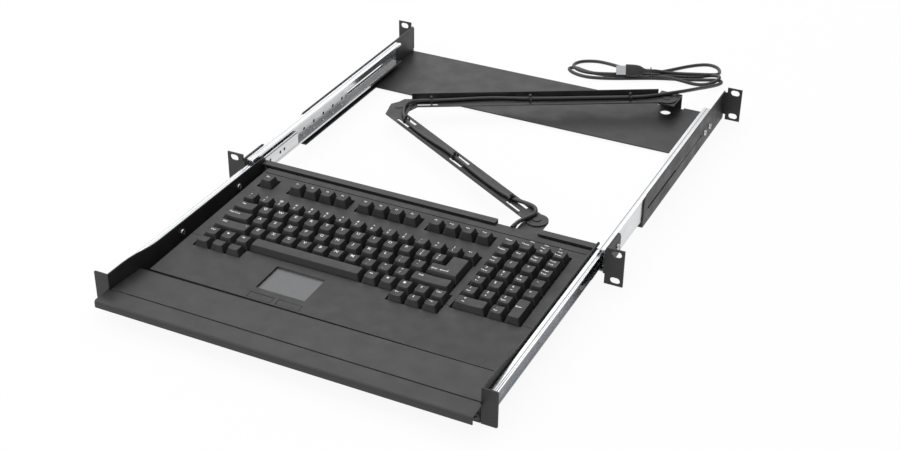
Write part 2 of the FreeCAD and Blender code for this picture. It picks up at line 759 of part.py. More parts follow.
# Keyboard: everything here is drawn on the level deck and then tilted with it
def tilted(item):
    item.Placement = FreeCAD.Placement(FreeCAD.Vector(), FreeCAD.Rotation(FreeCAD.Vector(1, 0, 0), 1))
    bind(item, "Placement.Rotation.Angle", "deck_tilt")
    bind(item, "Placement.Base.z", "deck_rise")
    return item


def underside(v):
    """The level of the tray floor under the tilted deck at one distance along it."""
    return "((%s - deck_rise - (%s) * sin(deck_tilt)) / cos(deck_tilt))" % (floor_top, v)


def row_at(count):
    return "number_row - %g * key_pitch" % count


def keypad_at(count):
    return "keypad_row - %g * key_pitch" % count


def well(left, right, front, rear):
    return block("(%s) - well_gap" % left, "(%s) + well_gap" % right, "(%s) - well_gap" % front,
                 "(%s) + well_gap" % rear, "-bezel_skirt - cut_over", "cut_over")


def main_x(units):
    return "main_left + %g * key_pitch" % units


def lower_x(units):
    return "main_left + (%g + lower_offset) * key_pitch" % units


half_key = " key_pitch / 2"
guide_top = "(-bezel_skirt + guide_plate)"
wells = [
    well(main_x(0), main_x(1), "function_row -" + half_key, "function_row +" + half_key),
    well(main_x(0), main_x(main_units), row_at(3.5), row_at(-0.5)),
    well(lower_x(0), lower_x(main_units), row_at(4.5), row_at(3.5)),
    well(lower_x(0), lower_x(3), row_at(5.5), row_at(4.5)),
    well(lower_x(12), lower_x(main_units), row_at(5.5), row_at(4.5)),
    well("keypad_left", "keypad_right", keypad_at(6.5), keypad_at(-0.5)),
    block("pad_left", "pad_left + pad_width", "pad_rear - pad_depth", "pad_rear", "-bezel_skirt - cut_over",
          "cut_over"),
]
for start in (2, 6.5, 11):
    wells.append(well(main_x(start), main_x(start + 4), "function_row -" + half_key,
                      "function_row +" + half_key))
for index in range(2):
    left = "pad_left + %d * button_spacing" % index
    wells.append(block(left + " - pad_gap", left + " + button_width + pad_gap",
                       "button_rear - button_depth - pad_gap",
                       "button_rear + pad_gap", "-bezel_skirt - cut_over", "cut_over"))
leds = []
for index in range(3):
    left = "led_first + %d * led_pitch - led_width / 2" % index
    rear = "led_row + led_depth / 2"
    wells.append(block(left, left + " + led_width", rear + " - led_depth", rear, "-bezel_sheet - cut_over",
                       "cut_over"))
    leds.append(block(left, left + " + led_width", rear + " - led_depth", rear, "-led_height", "0"))
groove = block("deck_left + bezel_wall", "deck_right - bezel_wall", "-rear_groove / 2", "rear_groove / 2",
               "-rear_groove", "cut_over")
cover = block("deck_left", "deck_right", "deck_front", "deck_rear", "-bezel_skirt", "0")
hollow_rear = "deck_rear - ledge_depth - bezel_wall"
hollow = block("deck_left + bezel_wall", "deck_right - bezel_wall", "deck_front + bezel_wall", hollow_rear,
               "-bezel_skirt - cut_over", "-bezel_sheet")
ledge = block("deck_left - cut_over", "deck_right + cut_over", "deck_rear - ledge_depth",
              "deck_rear + cut_over", "-ledge_drop", "cut_over")
tilted(node("keyboard_bezel", cut(cover, hollow, groove, ledge, *wells)))
tilted(node("status_leds", group(*leds)))

base_in = {"x0": "deck_left + base_rim", "x1": "deck_right - base_rim",
           "y0": "deck_front + base_rim", "y1": "deck_rear - base_rim"}
tub = prism("YZ", "deck_left", "deck_right - deck_left", [
    ("deck_front", underside("deck_front")),
    ("deck_rear", underside("deck_rear")),
    ("deck_rear", "-bezel_skirt"),
    ("deck_front", "-bezel_skirt"),
])
tray_of_base = block(base_in["x0"], base_in["x1"], base_in["y0"], base_in["y1"], "base_top", "cut_over")
board_rear = base_in["y1"] + " - board_gap"
board_x0 = base_in["x1"] + " - board_length - board_inset"
board_pocket = block(board_x0 + " - cut_over", board_x0 + " + board_length + cut_over",
                     board_rear + " - board_depth - cut_over",
                     board_rear + " + cut_over", "base_top - 2 * board_thick", "base_top + cut_over")
tilted(node("keyboard_base", cut(tub, tray_of_base, board_pocket)))
board = block(board_x0, board_x0 + " + board_length", board_rear + " - board_depth", board_rear,
              "base_top - 2 * board_thick", "base_top - board_thick")
tilted(node("controller_board", group(board)))
contacts = block(base_in["x0"] + " + guide_play", base_in["x1"] + " - guide_play",
                 base_in["y0"] + " + guide_play",
                 base_in["y1"] + " - guide_play", "base_top", "base_top + membrane")
tilted(node("membrane_sheet", group(contacts)))


# Key caps: hollow tapered shells with a dished top and a guide post
posts_made = []


def cap_parts(x0, x1, y0, y1, height):
    """The outer form of one cap, the tools that hollow and dish it, and its post."""
    width = "((%s) - (%s) - key_gap)" % (x1, x0)
    depth = "((%s) - (%s) - key_gap)" % (y1, y0)
    mid_x = "((%s) + (%s)) / 2" % (x0, x1)
    mid_y = "((%s) + (%s)) / 2" % (y0, y1)
    shells = []
    for wall, low, high in (("0", "-cap_skirt", height), ("cap_wall", "-cap_skirt - cut_over",
                                                          "(%s) - cap_roof" % height)):
        item = doc.addObject("Part::Wedge", "Cap")
        bind(item, "Xmin", "-%s / 2 + %s" % (width, wall))
        bind(item, "Xmax", "%s / 2 - %s" % (width, wall))
        bind(item, "Zmin", "-%s / 2 + %s" % (depth, wall))
        bind(item, "Zmax", "%s / 2 - %s" % (depth, wall))
        bind(item, "Ymin", low)
        bind(item, "Ymax", high)
        bind(item, "X2min", "-%s / 2 + cap_side_taper + %s" % (width, wall))
        bind(item, "X2max", "%s / 2 - cap_side_taper - %s" % (width, wall))
        bind(item, "Z2min", "-%s / 2 + cap_rear_taper + %s" % (depth, wall))
        bind(item, "Z2max", "%s / 2 - cap_front_taper - %s" % (depth, wall))
        item.Placement = FreeCAD.Placement(FreeCAD.Vector(), upright)
        shells.append(place(item, mid_x, mid_y, "0"))
    dish = rod("y", mid_x, "(%s) - cut_over" % y0, "%s + cap_dish_radius - cap_dish_depth" % height,
               "cap_dish_radius", "(%s) - (%s) + 2 * cut_over" % (y1, y0))
    half = "post_width / 2"
    post = block(mid_x + " - " + half, mid_x + " + " + half, mid_y + " - " + half, mid_y + " + " + half,
                 "post_bottom", "(%s) - cap_roof" % height)
    posts_made.append((mid_x, mid_y))
    return shells[0], shells[1], dish, post


def key_node(label, keys, dished=True):
    """One node of caps that press together, from the cells of a key row."""
    made = [cap_parts(*key) for key in keys]
    outer = group(*[item[0] for item in made])
    tools = [item[1] for item in made]
    if dished:
        shell = cut(cut(outer, group(*tools)), group(*[item[2] for item in made]))
    else:
        shell = cut(outer, group(*tools))
    if len(made) == 1:
        return tilted(node(label, fuse(shell, made[0][3])))
    return tilted(node(label, fuse(shell, *[item[3] for item in made])))


def cell(x, start, units, mid_y, height, rows=1):
    return (x(start), x(start + units), "%s - %g * key_pitch" % (mid_y, rows - 0.5),
            mid_y + " +" + half_key, height)


def keypad_x(units):
    return "keypad_left + %g * key_pitch" % units


function_starts = (2, 3, 4, 5, 6.5, 7.5, 8.5, 9.5, 11, 12, 13, 14)
key_node("escape_key", [cell(main_x, 0, 1, "function_row", "cap_tall")])
key_node("function_keys", [cell(main_x, start, 1, "function_row", "cap_tall") for start in function_starts])
key_node("number_keys", [cell(main_x, start, 1, row_at(0), "cap_tall") for start in range(14)])
key_node("backspace_key", [cell(main_x, 14, 1, row_at(0), "cap_tall")])
key_node("tab_key", [cell(main_x, 0, 1.75, row_at(1), "cap_high")])
key_node("upper_letter_keys", [cell(main_x, 1.75 + step, 1, row_at(1), "cap_high") for step in range(12)])
key_node("caps_key", [cell(main_x, 0, 2, row_at(2), "cap_mid")])
key_node("home_letter_keys", [cell(main_x, 2 + step, 1, row_at(2), "cap_mid") for step in range(11)])
key_node("left_shift_key", [cell(main_x, 0, 2.5, row_at(3), "cap_low")])
key_node("lower_letter_keys", [cell(main_x, 2.5 + step, 1, row_at(3), "cap_low") for step in range(10)])
key_node("right_shift_key", [cell(main_x, 12.5, 2.5, row_at(3), "cap_low")])
modifier_starts = (0, 1, 2, 10, 11, 12, 13, 14)
modifier_cells = [cell(lower_x, start, 1, row_at(4), "cap_low") for start in modifier_starts]
modifier_cells += [cell(lower_x, start, 1, row_at(5), "cap_low") for start in range(3)]
key_node("modifier_keys", modifier_cells)
key_node("space_bar", [cell(lower_x, 3, 7, row_at(4), "cap_low")], dished=False)
key_node("arrow_keys", [cell(lower_x, start, 1, row_at(5), "cap_low") for start in (12, 13, 14)])
keypad_heights = ("cap_tall", "cap_tall", "cap_tall", "cap_high", "cap_mid", "cap_low", "cap_low")
keypad_cells = []
for count, height in enumerate(keypad_heights):
    columns = {5: (0, 1, 2), 6: (2,)}.get(count, (0, 1, 2, 3))
    keypad_cells += [cell(keypad_x, column, 1, keypad_at(count), height) for column in columns]
key_node("keypad_keys", keypad_cells)
key_node("keypad_zero_key", [cell(keypad_x, 0, 2, keypad_at(6), "cap_low")])
key_node("keypad_enter_key", [cell(keypad_x, 3, 1, keypad_at(5), "cap_low", rows=2)], dished=False)

# Return key: an angled cap over two rows, wide below and narrow above
lower = cap_parts(*cell(main_x, 13, 2, row_at(2), "cap_mid"))
upper = cap_parts(*cell(main_x, 13.75, 1.25, row_at(1), "cap_mid", rows=2))
posts_made.pop()
shell = cut(fuse(lower[0], upper[0]), lower[1], upper[1])
tilted(node("return_key", fuse(shell, lower[3])))

# Guide plate under the caps, with a square hole for each post
plate = block("deck_left + bezel_wall + guide_play", "deck_right - bezel_wall - guide_play",
              "deck_front + bezel_wall + guide_play", hollow_rear + " - guide_play", "-bezel_skirt",
              guide_top)
post_hole = "(post_width / 2 + guide_play)"
guide_holes = []
for mid_x, mid_y in posts_made:
    guide_holes.append(block(mid_x + " - " + post_hole, mid_x + " + " + post_hole,
                             mid_y + " - " + post_hole,
                             mid_y + " + " + post_hole, "-bezel_skirt - cut_over",
                             guide_top + " + cut_over"))
guide = doc.addObject("Part::Cut", "Guide")
guide.Base = plate
guide.Tool = group(*guide_holes)
tilted(node("key_guide_plate", guide))

# Touch pad and its two buttons
pad = block("pad_left + pad_gap", "pad_left + pad_width - pad_gap", "pad_rear - pad_depth + pad_gap",
            "pad_rear - pad_gap", guide_top, "-pad_recess")
tilted(node("touch_pad", group(pad)))
for index, name in enumerate(("left", "right")):
    left = "pad_left + %d * button_spacing" % index
    button = block(left, left + " + button_width", "button_rear - button_depth", "button_rear",
                   "-button_height", "0")
    tilted(node("pad_button_" + name, group(button)))

# Cable arm: two folded links that meet at an offset elbow, so that they fold side by side
link_edge = "arm_width / 2"
fixed_pivot = ("fixed_pivot_x", "fixed_pivot_y")
elbow = ("elbow_x", "elbow_y")
tray_pivot = ("tray_pivot_x", "tray_pivot_y")
front_floor = "(rear_link_floor + arm_sheet + arm_play)"
front_top = front_floor + " + arm_sheet"


def link_span(root):
    """Distance from a link's own pivot to the elbow."""
    return "sqrt((elbow_x - (%s)) ^ 2 + (elbow_y - (%s)) ^ 2)" % root


def link_run(root):
    """How far along its strip a link reaches the elbow."""
    return "sqrt((elbow_x - (%s)) ^ 2 + (elbow_y - (%s)) ^ 2 - elbow_offset ^ 2)" % root


def link_turn(root, hand):
    """Direction of a link's strip, which passes the elbow at the elbow offset."""
    sight = "atan2(elbow_y - (%s); elbow_x - (%s))" % (root[1], root[0])
    return "%s + %d * asin(elbow_offset / %s)" % (sight, hand, link_span(root))


def swung(item, root, hand):
    """Turn a piece drawn along X into its place on a link."""
    bind(item, "Placement.Rotation.Angle", link_turn(root, hand))
    bind(item, "Placement.Base.x", root[0])
    bind(item, "Placement.Base.y", root[1])
    return item


def across(hand, low, high):
    """A stretch across a link, whose flange side is positive for hand 1."""
    if hand > 0:
        return low, high
    return "-(%s)" % high, "-(%s)" % low


def link(label, root, hand, floor, flange, slots, root_hole, elbow_hole):
    run = link_run(root)
    top = floor + " + arm_sheet"
    corners = [
        ("0", "-(%s)" % link_edge),
        (run + " - elbow_shoulder - (elbow_offset + elbow_reach - %s)" % link_edge, "-(%s)" % link_edge),
        (run + " - elbow_shoulder", "-elbow_offset - elbow_reach"),
        (run + " + elbow_reach / 2", "-elbow_offset - elbow_reach"),
        (run + " + elbow_reach", "-elbow_offset - elbow_reach / 2"),
        (run + " + elbow_reach", "%s - elbow_slope_drop" % link_edge),
        (run + " - elbow_slope_start", link_edge),
        ("0", link_edge),
    ]
    plate = prism("XY", floor, "arm_sheet", [(x, "%d * (%s)" % (hand, y)) for x, y in corners])
    inner, outer = across(hand, "%s - arm_sheet" % link_edge, link_edge)
    rim = block(flange[0], run + " - " + flange[1], inner, outer, floor, top + " + " + flange[2])
    parts = [plate, rod("z", "0", "0", floor, "arm_end_radius", "arm_sheet"), rim]
    low = floor + " - cut_over"
    high = top + " + cut_over"
    holes = [
        rod("z", "0", "0", low, root_hole, "arm_sheet + 2 * cut_over"),
        rod("z", run, "%d * elbow_offset" % -hand, low, elbow_hole, "arm_sheet + 2 * cut_over"),
    ]
    for start in slots:
        for row in (-1, 1):
            mid = "%d * arm_slot_offset" % row
            holes.append(block(start, start + " + arm_slot_length", mid + " - arm_slot_width / 2",
                               mid + " + arm_slot_width / 2", low, high))
    return node(label, swung(cut(fuse(*parts), *holes), root, hand))


def tie_loop(root, hand, mid, floor):
    """A tie round the cord and the link floor, through one pair of slots."""
    half = "(arm_slot_offset - arm_slot_width / 2 + tie_gap)"
    low = floor + " - tie_gap"
    high = floor + " + arm_sheet + cord_diameter + cord_rise + tie_gap"
    loop = block(mid + " - tie_width / 2", mid + " + tie_width / 2", "-%s - tie_thick" % half,
                 "%s + tie_thick" % half, low + " - tie_thick", high + " + tie_thick")
    inside = block(mid + " - tie_width", mid + " + tie_width", "-" + half, half, low, high)
    knob = block(mid + " - tie_head / 2", mid + " + tie_head / 2", "-tie_head / 2", "tie_head / 2",
                 high, high + " + tie_head")
    return swung(fuse(cut(loop, inside), knob), root, hand)


pin_fit = "rivet_shank / 2"
pin_hole = "rivet_shank / 2 + rivet_fit"
pin_free = "rivet_shank / 2 + arm_play"
front_slots = ["front_slot_start + %d * front_slot_pitch" % step for step in range(3)]
rear_slots = ["rear_slot_start + %d * rear_slot_pitch" % step for step in range(3)]
front_rim = ("front_rim_start", "front_rim_setback", "front_rim_height")
rear_rim = ("rear_rim_start", "rear_rim_setback", "rear_rim_height")
link("front_link", tray_pivot, 1, front_floor, front_rim, front_slots, pin_free, pin_hole)
link("rear_link", fixed_pivot, -1, "rear_link_floor", rear_rim, rear_slots, pin_hole, pin_free)
front_ties = [slot + " + %g * arm_slot_length" % part for slot, part in zip(front_slots, (0.9, 0.85, 0.55))]
rear_ties = [slot + " + %g * arm_slot_length" % part for slot, part in zip(rear_slots, (0.3, 0.35, 0.3))]
node("front_link_ties", group(*[tie_loop(tray_pivot, 1, spot, front_floor) for spot in front_ties]))
node("rear_link_ties", group(*[tie_loop(fixed_pivot, -1, spot, "rear_link_floor") for spot in rear_ties]))


def rivet(label, pivot, bottom, top, *heads):
    """A pivot rivet with flat heads, each given by its underside."""
    parts = [rod("z", *pivot, bottom, pin_fit, "(%s) - (%s)" % (top, bottom))]
    parts += [rod("z", *pivot, under, "rivet_head / 2", "rivet_head_height") for under in heads]
    return node(label, fuse(*parts))


rivet("tray_rivet", tray_pivot, tab_low, front_top + " + arm_play", front_top + " + arm_play")
under_rear = "rear_link_floor - arm_play"
rivet("elbow_rivet", elbow, under_rear, front_top, under_rear + " - rivet_head_height", front_top)
rivet("fixed_rivet", fixed_pivot, "rear_link_floor", "rear_link_floor + arm_sheet",
      "rear_link_floor + arm_sheet")

# Cable route: corners of its straight runs, which tangent arcs join
cord_radius = measure("cord_diameter / 2")
over_front = measure(front_top + " + cord_rise") + cord_radius
over_rear = measure("rear_link_floor + arm_sheet + cord_rise") + cord_radius
lying = measure("ground") + cord_radius

# Beside a pivot: two offsets in end radii, and a level as a share from the lower surface to the upper
tray_corners = (
    (-1.1846, -1.231, 1), (-0.3846, 0.346, 1), (-0.5308, 1.185, 1), (-1.1462, 1.777, 1),
)
elbow_corners = (
    (1.2154, -1.500, 1), (0.5692, -0.038, 1), (0.5692, 0.938, 1), (1.0923, 1.815, 0.2),
)
tail_corners = (
    (-0.1731, 0.626, 1), (0.4538, 1.238, 1), (1.2538, 2.638, 0.87), (1.7615, 4.454, 0.61),
    (2.2923, 6.285, 0.33), (2.7385, 7.992, 0.09), (2.9923, 9.077, 0.01), (2.4846, 9.600, 0),
)
# Along a link: a share of its run, and the offset to its flange in cord diameters
front_corners = (
    (0.1627, 0.196), (0.2551, 0.652), (0.3763, 0.652), (0.4720, 0.217), (0.5741, 0.087),
    (0.6634, 0.696), (0.7654, 1.087), (0.8356, 0.652), (0.8802, 0.000),
)
rear_corners = (
    (0.8563, 0.087), (0.7913, 0.348), (0.7146, 0.913), (0.6378, 1.043), (0.5551, 0.413),
    (0.4724, 0.130), (0.3780, 0.043), (0.2776, 0.087), (0.1890, 0.000), (0.1358, 0.043),
    (0.0945, 0.174), (0.0531, 0.696),
)


def by_pivot(pivot, spot, low, high):
    """A route corner beside a pivot, between two levels."""
    unit = measure("arm_end_radius")
    x = measure(pivot[0]) + spot[0] * unit
    y = measure(pivot[1]) + spot[1] * unit
    return FreeCAD.Vector(x, y, low + spot[2] * (high - low))


def on_link(root, hand, spot, level):
    """A route corner along a link, resting on its floor."""
    turn = math.radians(measure(link_turn(root, hand)))
    step = FreeCAD.Vector(math.cos(turn), math.sin(turn), 0)
    flange_way = FreeCAD.Vector(-step.y, step.x, 0) * hand
    foot = FreeCAD.Vector(measure(root[0]), measure(root[1]), level)
    return foot + step * spot[0] * measure(link_run(root)) + flange_way * spot[1] * measure("cord_diameter")


def on_deck(x, along_deck, below):
    """A route corner given on the tilted deck."""
    tilt = math.radians(measure("deck_tilt"))
    y = along_deck * math.cos(tilt) + below * math.sin(tilt)
    z = measure("deck_rise") + along_deck * math.sin(tilt) - below * math.cos(tilt)
    return FreeCAD.Vector(x, y, z)


route = [on_deck(measure("cord_exit_x"), measure("deck_rear + relief_length"), measure("relief_drop"))]
route += [by_pivot(tray_pivot, spot, over_rear, over_front) for spot in tray_corners]
tray_end = len(route) - 1
route += [on_link(tray_pivot, 1, spot, over_front) for spot in front_corners]
front_end = len(route) - 2
route += [by_pivot(elbow, spot, over_rear, over_front) for spot in elbow_corners]
elbow_end = len(route) - 1
route += [on_link(fixed_pivot, -1, spot, over_rear) for spot in rear_corners]
rear_end = len(route) - 1
route += [by_pivot(fixed_pivot, spot, lying, over_rear) for spot in tail_corners]


def cord_tube(label, first, last):
    """Sweep the cord from the middle of one run to the middle of another, and print its bend radii."""
    corners = route[first + 1:last + 1]
    start = route[0] if first < 0 else (route[first] + route[first + 1]) * 0.5
    end = route[-1] if last + 1 >= len(route) else (route[last] + route[last + 1]) * 0.5
    if first < 0:
        corners = corners[1:]
    if last + 1 >= len(route):
        corners = corners[:-1]
    spots = [start] + corners + [end]
    edges = []
    radii = []
    here = start
    for before, corner, after in zip(spots, spots[1:], spots[2:]):
        back_way = (before - corner).normalize()
        ahead_way = (after - corner).normalize()
        half_turn = (math.pi - back_way.getAngle(ahead_way)) / 2
        tangent = 0.45 * min((before - corner).Length, (after - corner).Length)
        bend = tangent / math.tan(half_turn)
        radii.append(round(bend, 1))
        middle = corner + (back_way + ahead_way).normalize() * (math.hypot(tangent, bend) - bend)
        back = corner + back_way * tangent
        ahead = corner + ahead_way * tangent
        edges.append(Part.LineSegment(here, back).toShape())
        edges.append(Part.Arc(back, middle, ahead).toShape())
        here = ahead
    edges.append(Part.LineSegment(here, end).toShape())
    path = Part.Wire(edges)
    ring = Part.Wire(Part.makeCircle(cord_radius, start, spots[1] - start))
    tube = path.makePipeShell([ring], True, False)
    ratio = tube.Volume / (math.pi * cord_radius ** 2 * path.Length)
    print(label, "length", round(path.Length), "smallest radius", min(radii), "volume ratio",
          round(ratio, 4))
    item = doc.addObject("Part::Feature", "Cord")
    item.Shape = tube
    return node(label, item)


cord_tube("cord_keyboard", -1, tray_end)
cord_tube("cord_front_link", tray_end, front_end)
cord_tube("cord_elbow", front_end, elbow_end)
cord_tube("cord_rear_link", elbow_end, rear_end)
cord_tube("cord_tail", rear_end, len(route) - 1)
relief = rod("y", "cord_exit_x", "deck_rear", "-relief_drop", "relief_radius", "relief_length")
tilted(node("strain_relief", group(relief)))


# Spare cable: a tied hank on the ground, with the plug lying on it
def laid(item):
    """Turn a piece drawn along X into its place on the hank."""
    bind(item, "Placement.Rotation.Angle", "hank_turn")
    bind(item, "Placement.Base.x", "hank_x")
    bind(item, "Placement.Base.y", "hank_y")
    return item


hank_low = "ground + tie_thick"
hank_top = "ground + tie_thick + hank_height"
tie_near = "hank_tie_x"
tie_far = "hank_tie_x + hank_tie_width"
waist_low = "hank_tie_y - hank_waist / 2"
waist_high = "hank_tie_y + hank_waist / 2"

# The two lobes and the openings of their loops, as shares of the hank's length and width
left_lobe = (
    (-0.112, -0.412), (-0.228, -0.432), (-0.325, -0.432), (-0.403, -0.399), (-0.466, -0.311),
    (-0.510, -0.176), (-0.522, -0.054), (-0.490, 0.041), (-0.454, 0.250), (-0.408, 0.331),
    (-0.340, 0.345), (-0.277, 0.304), (-0.194, 0.182), (-0.097, -0.007),
)
right_lobe = (
    (0.053, -0.135), (0.141, 0.041), (0.238, 0.203), (0.330, 0.304), (0.408, 0.318),
    (0.461, 0.230), (0.478, 0.041), (0.464, -0.230), (0.478, -0.446), (0.417, -0.534),
    (0.350, -0.628), (0.282, -0.655), (0.199, -0.601), (0.107, -0.500),
)
left_opening = (
    (-0.447, 0.000), (-0.422, 0.176), (-0.383, 0.257), (-0.335, 0.270), (-0.277, 0.223),
    (-0.204, 0.101), (-0.107, -0.088), (-0.039, -0.189), (-0.126, -0.230), (-0.252, -0.250),
    (-0.354, -0.223), (-0.413, -0.128),
)
right_opening = (
    (0.078, -0.162), (0.165, 0.000), (0.257, 0.135), (0.340, 0.230), (0.398, 0.243),
    (0.437, 0.169), (0.451, 0.027), (0.430, -0.162), (0.388, -0.230), (0.320, -0.216),
    (0.209, -0.209), (0.117, -0.196),
)


def on_hank(shares):
    return [("%g * hank_length" % x, "%g * hank_width" % y) for x, y in shares]


bundle_outline = [(tie_near, waist_low)] + on_hank(left_lobe)
bundle_outline += [(tie_near, waist_high), (tie_far, waist_high)] + on_hank(right_lobe)
bundle_outline += [(tie_far, waist_low)]
loops = [prism("XY", hank_low + " - cut_over", "hank_height + 2 * cut_over", on_hank(opening))
         for opening in (left_opening, right_opening)]
node("cord_hank", laid(cut(prism("XY", hank_low, "hank_height", bundle_outline), *loops)))
band = block(tie_near, tie_far, waist_low + " - tie_thick", waist_high + " + tie_thick", "ground",
             hank_top + " + tie_thick")
bundle = block(tie_near + " - cut_over", tie_far + " + cut_over", waist_low, waist_high, hank_low, hank_top)
node("hank_tie", laid(cut(band, bundle)))
body_front = "plug_x + plug_shell_length"
shell_low = hank_top + " + (plug_body_height - plug_shell_height) / 2"
grip = block(body_front, body_front + " + plug_body_length", "plug_y - plug_body_width / 2",
             "plug_y + plug_body_width / 2", hank_top, hank_top + " + plug_body_height")
node("plug_body", laid(group(grip)))
shell = block("plug_x", body_front, "plug_y - plug_shell_width / 2", "plug_y + plug_shell_width / 2",
              shell_low, shell_low + " + plug_shell_height")
node("plug_shell", laid(group(shell)))

doc.recompute()
failed = [item.Name for item in doc.Objects if "Invalid" in item.State or "Error" in item.State]
if failed:
    raise RuntimeError("not rebuilt: " + ", ".join(failed))
os.makedirs("parts", exist_ok=True)
for item in nodes:
    if item.Shape.isNull() or not item.Shape.isValid():
        raise RuntimeError("bad shape: " + item.Label)
    item.Shape.exportStep("parts/%s.step" % item.Label)
print(len(nodes), "nodes written")
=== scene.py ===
import json
import math
from collections import defaultdict

import bmesh
import bpy
from mathutils import Matrix, Vector

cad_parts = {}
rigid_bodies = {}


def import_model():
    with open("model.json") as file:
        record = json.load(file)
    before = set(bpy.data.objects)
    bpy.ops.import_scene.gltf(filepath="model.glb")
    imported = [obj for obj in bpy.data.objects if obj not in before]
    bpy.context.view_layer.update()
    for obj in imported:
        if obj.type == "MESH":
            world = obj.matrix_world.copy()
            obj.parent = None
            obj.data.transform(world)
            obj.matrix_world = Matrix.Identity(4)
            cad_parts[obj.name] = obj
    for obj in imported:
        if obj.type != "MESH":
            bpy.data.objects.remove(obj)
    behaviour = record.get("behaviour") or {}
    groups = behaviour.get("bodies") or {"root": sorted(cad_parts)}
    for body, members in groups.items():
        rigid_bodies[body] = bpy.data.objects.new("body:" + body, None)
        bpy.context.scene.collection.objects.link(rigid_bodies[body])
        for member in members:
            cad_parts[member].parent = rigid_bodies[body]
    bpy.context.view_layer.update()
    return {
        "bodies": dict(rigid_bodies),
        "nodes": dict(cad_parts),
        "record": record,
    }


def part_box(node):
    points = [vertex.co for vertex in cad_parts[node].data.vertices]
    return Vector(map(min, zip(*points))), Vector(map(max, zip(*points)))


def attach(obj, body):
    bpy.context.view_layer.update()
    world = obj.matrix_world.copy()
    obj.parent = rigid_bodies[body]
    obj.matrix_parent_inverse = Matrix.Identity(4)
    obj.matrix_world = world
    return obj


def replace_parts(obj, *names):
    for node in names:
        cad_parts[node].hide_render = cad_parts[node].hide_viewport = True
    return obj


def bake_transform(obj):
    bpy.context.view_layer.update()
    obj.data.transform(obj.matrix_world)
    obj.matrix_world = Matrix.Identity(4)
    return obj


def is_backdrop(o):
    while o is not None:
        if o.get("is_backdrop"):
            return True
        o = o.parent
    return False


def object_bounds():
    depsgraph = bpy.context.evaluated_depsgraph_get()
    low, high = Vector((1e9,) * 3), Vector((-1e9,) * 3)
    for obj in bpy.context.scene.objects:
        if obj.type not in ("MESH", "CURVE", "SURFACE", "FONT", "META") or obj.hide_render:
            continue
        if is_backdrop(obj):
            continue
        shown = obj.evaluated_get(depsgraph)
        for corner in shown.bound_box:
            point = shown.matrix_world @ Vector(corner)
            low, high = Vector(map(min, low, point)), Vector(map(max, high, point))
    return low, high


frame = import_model()
cadNodes = frame["nodes"]
mm = 0.001
quarter = math.pi / 2
hands = {"left": -1, "right": 1}
print("frame:", len(cadNodes), "nodes on", len(frame["bodies"]), "bodies")


def addObject(name, data):
    made = bpy.data.objects.new(name, data)
    bpy.context.scene.collection.objects.link(made)
    return made


# Camera at the photograph's angle
cameraView = {
    "azimuth": 25.583,
    "elevation": 31.072,
    "roll": 0.640,
    "eye": (0.631807, -1.231525, 0.823104),
    "focalPixels": 1474.558,
    "imageWidth": 900,
    "sensor": 36.0,
    "clip": (0.01, 50.0),
}


def makeCamera(look):
    turn, lift, roll = (math.radians(look[k]) for k in ("azimuth", "elevation", "roll"))
    back = Vector((math.sin(turn) * math.cos(lift), -math.cos(turn) * math.cos(lift), math.sin(lift)))
    right = Vector((math.cos(turn), math.sin(turn), 0))
    up = back.cross(right)
    across = math.cos(roll) * right + math.sin(roll) * up
    above = math.cos(roll) * up - math.sin(roll) * right
    lens = bpy.data.cameras.new("photoCamera")
    lens.sensor_width = look["sensor"]
    lens.lens = look["focalPixels"] / look["imageWidth"] * look["sensor"]
    lens.clip_start, lens.clip_end = look["clip"]
    camera = addObject("photoCamera", lens)
    basis = Matrix((across, above, back)).transposed().to_4x4()
    camera.matrix_world = Matrix.Translation(look["eye"]) @ basis
    bpy.context.scene.camera = camera


makeCamera(cameraView)

# Studio: pale floor, soft lamps and a white surround
plainWhite = (1, 1, 1, 1)
studio = {
    "floorLevel": -0.0222,
    "floorSize": 30.0,
    "floorPaper": {"Base Color": (0.86, 0.86, 0.86, 1), "Roughness": 0.9, "Specular IOR Level": 0.1},
    "floorWhite": 0.92,  # share of plain white that the camera sees on the floor
    "surround": (0.13, 0.80),  # light from the surround on the dim and on the bright side
    "gloss": 1.35,  # how much stronger the surround is in reflections
    "brightSide": (-0.78, -0.20, 0.59),
    "slope": (-0.7, 0.7),  # where the surround begins and stops growing brighter, along that direction
    "lamps": {
        "overhead": {"place": (-0.9, 0.35, 2.2), "aim": (-0.7, 0.2, 0), "size": 4.2, "watts": 46},
        "frontFill": {"place": (-1.7, -1.9, 1.1), "aim": (-0.1, -0.1, 0), "size": 1.3, "watts": 9},
        "rearRim": {"place": (-1.0, 2.4, 1.5), "aim": (0, 0.1, 0), "size": 1.4, "watts": 4},
    },
}


# Gives an input a value, or links it where the value is another node's output
def feed(tree, place, value):
    if isinstance(value, bpy.types.NodeSocket):
        tree.links.new(value, place)
    else:
        place.default_value = value


# Adds a node; feeds go to its inputs in their order, and the rest by name
def addNode(tree, kind, *feeds, **values):
    made = tree.nodes.new(kind)
    for key, value in values.items():
        if made.inputs.get(key) is not None:
            feed(tree, made.inputs[key], value)
        else:
            setattr(made, key, value)
    for place, value in zip(made.inputs, feeds):
        feed(tree, place, value)
    return made


def calc(tree, operation, *feeds):
    return addNode(tree, "ShaderNodeMath", *feeds, operation=operation).outputs[0]


def mapRange(tree, value, span, goal):
    return addNode(tree, "ShaderNodeMapRange", value, *span, *goal).outputs[0]


def dot(tree, first, second):
    return addNode(tree, "ShaderNodeVectorMath", first, second, operation="DOT_PRODUCT").outputs["Value"]


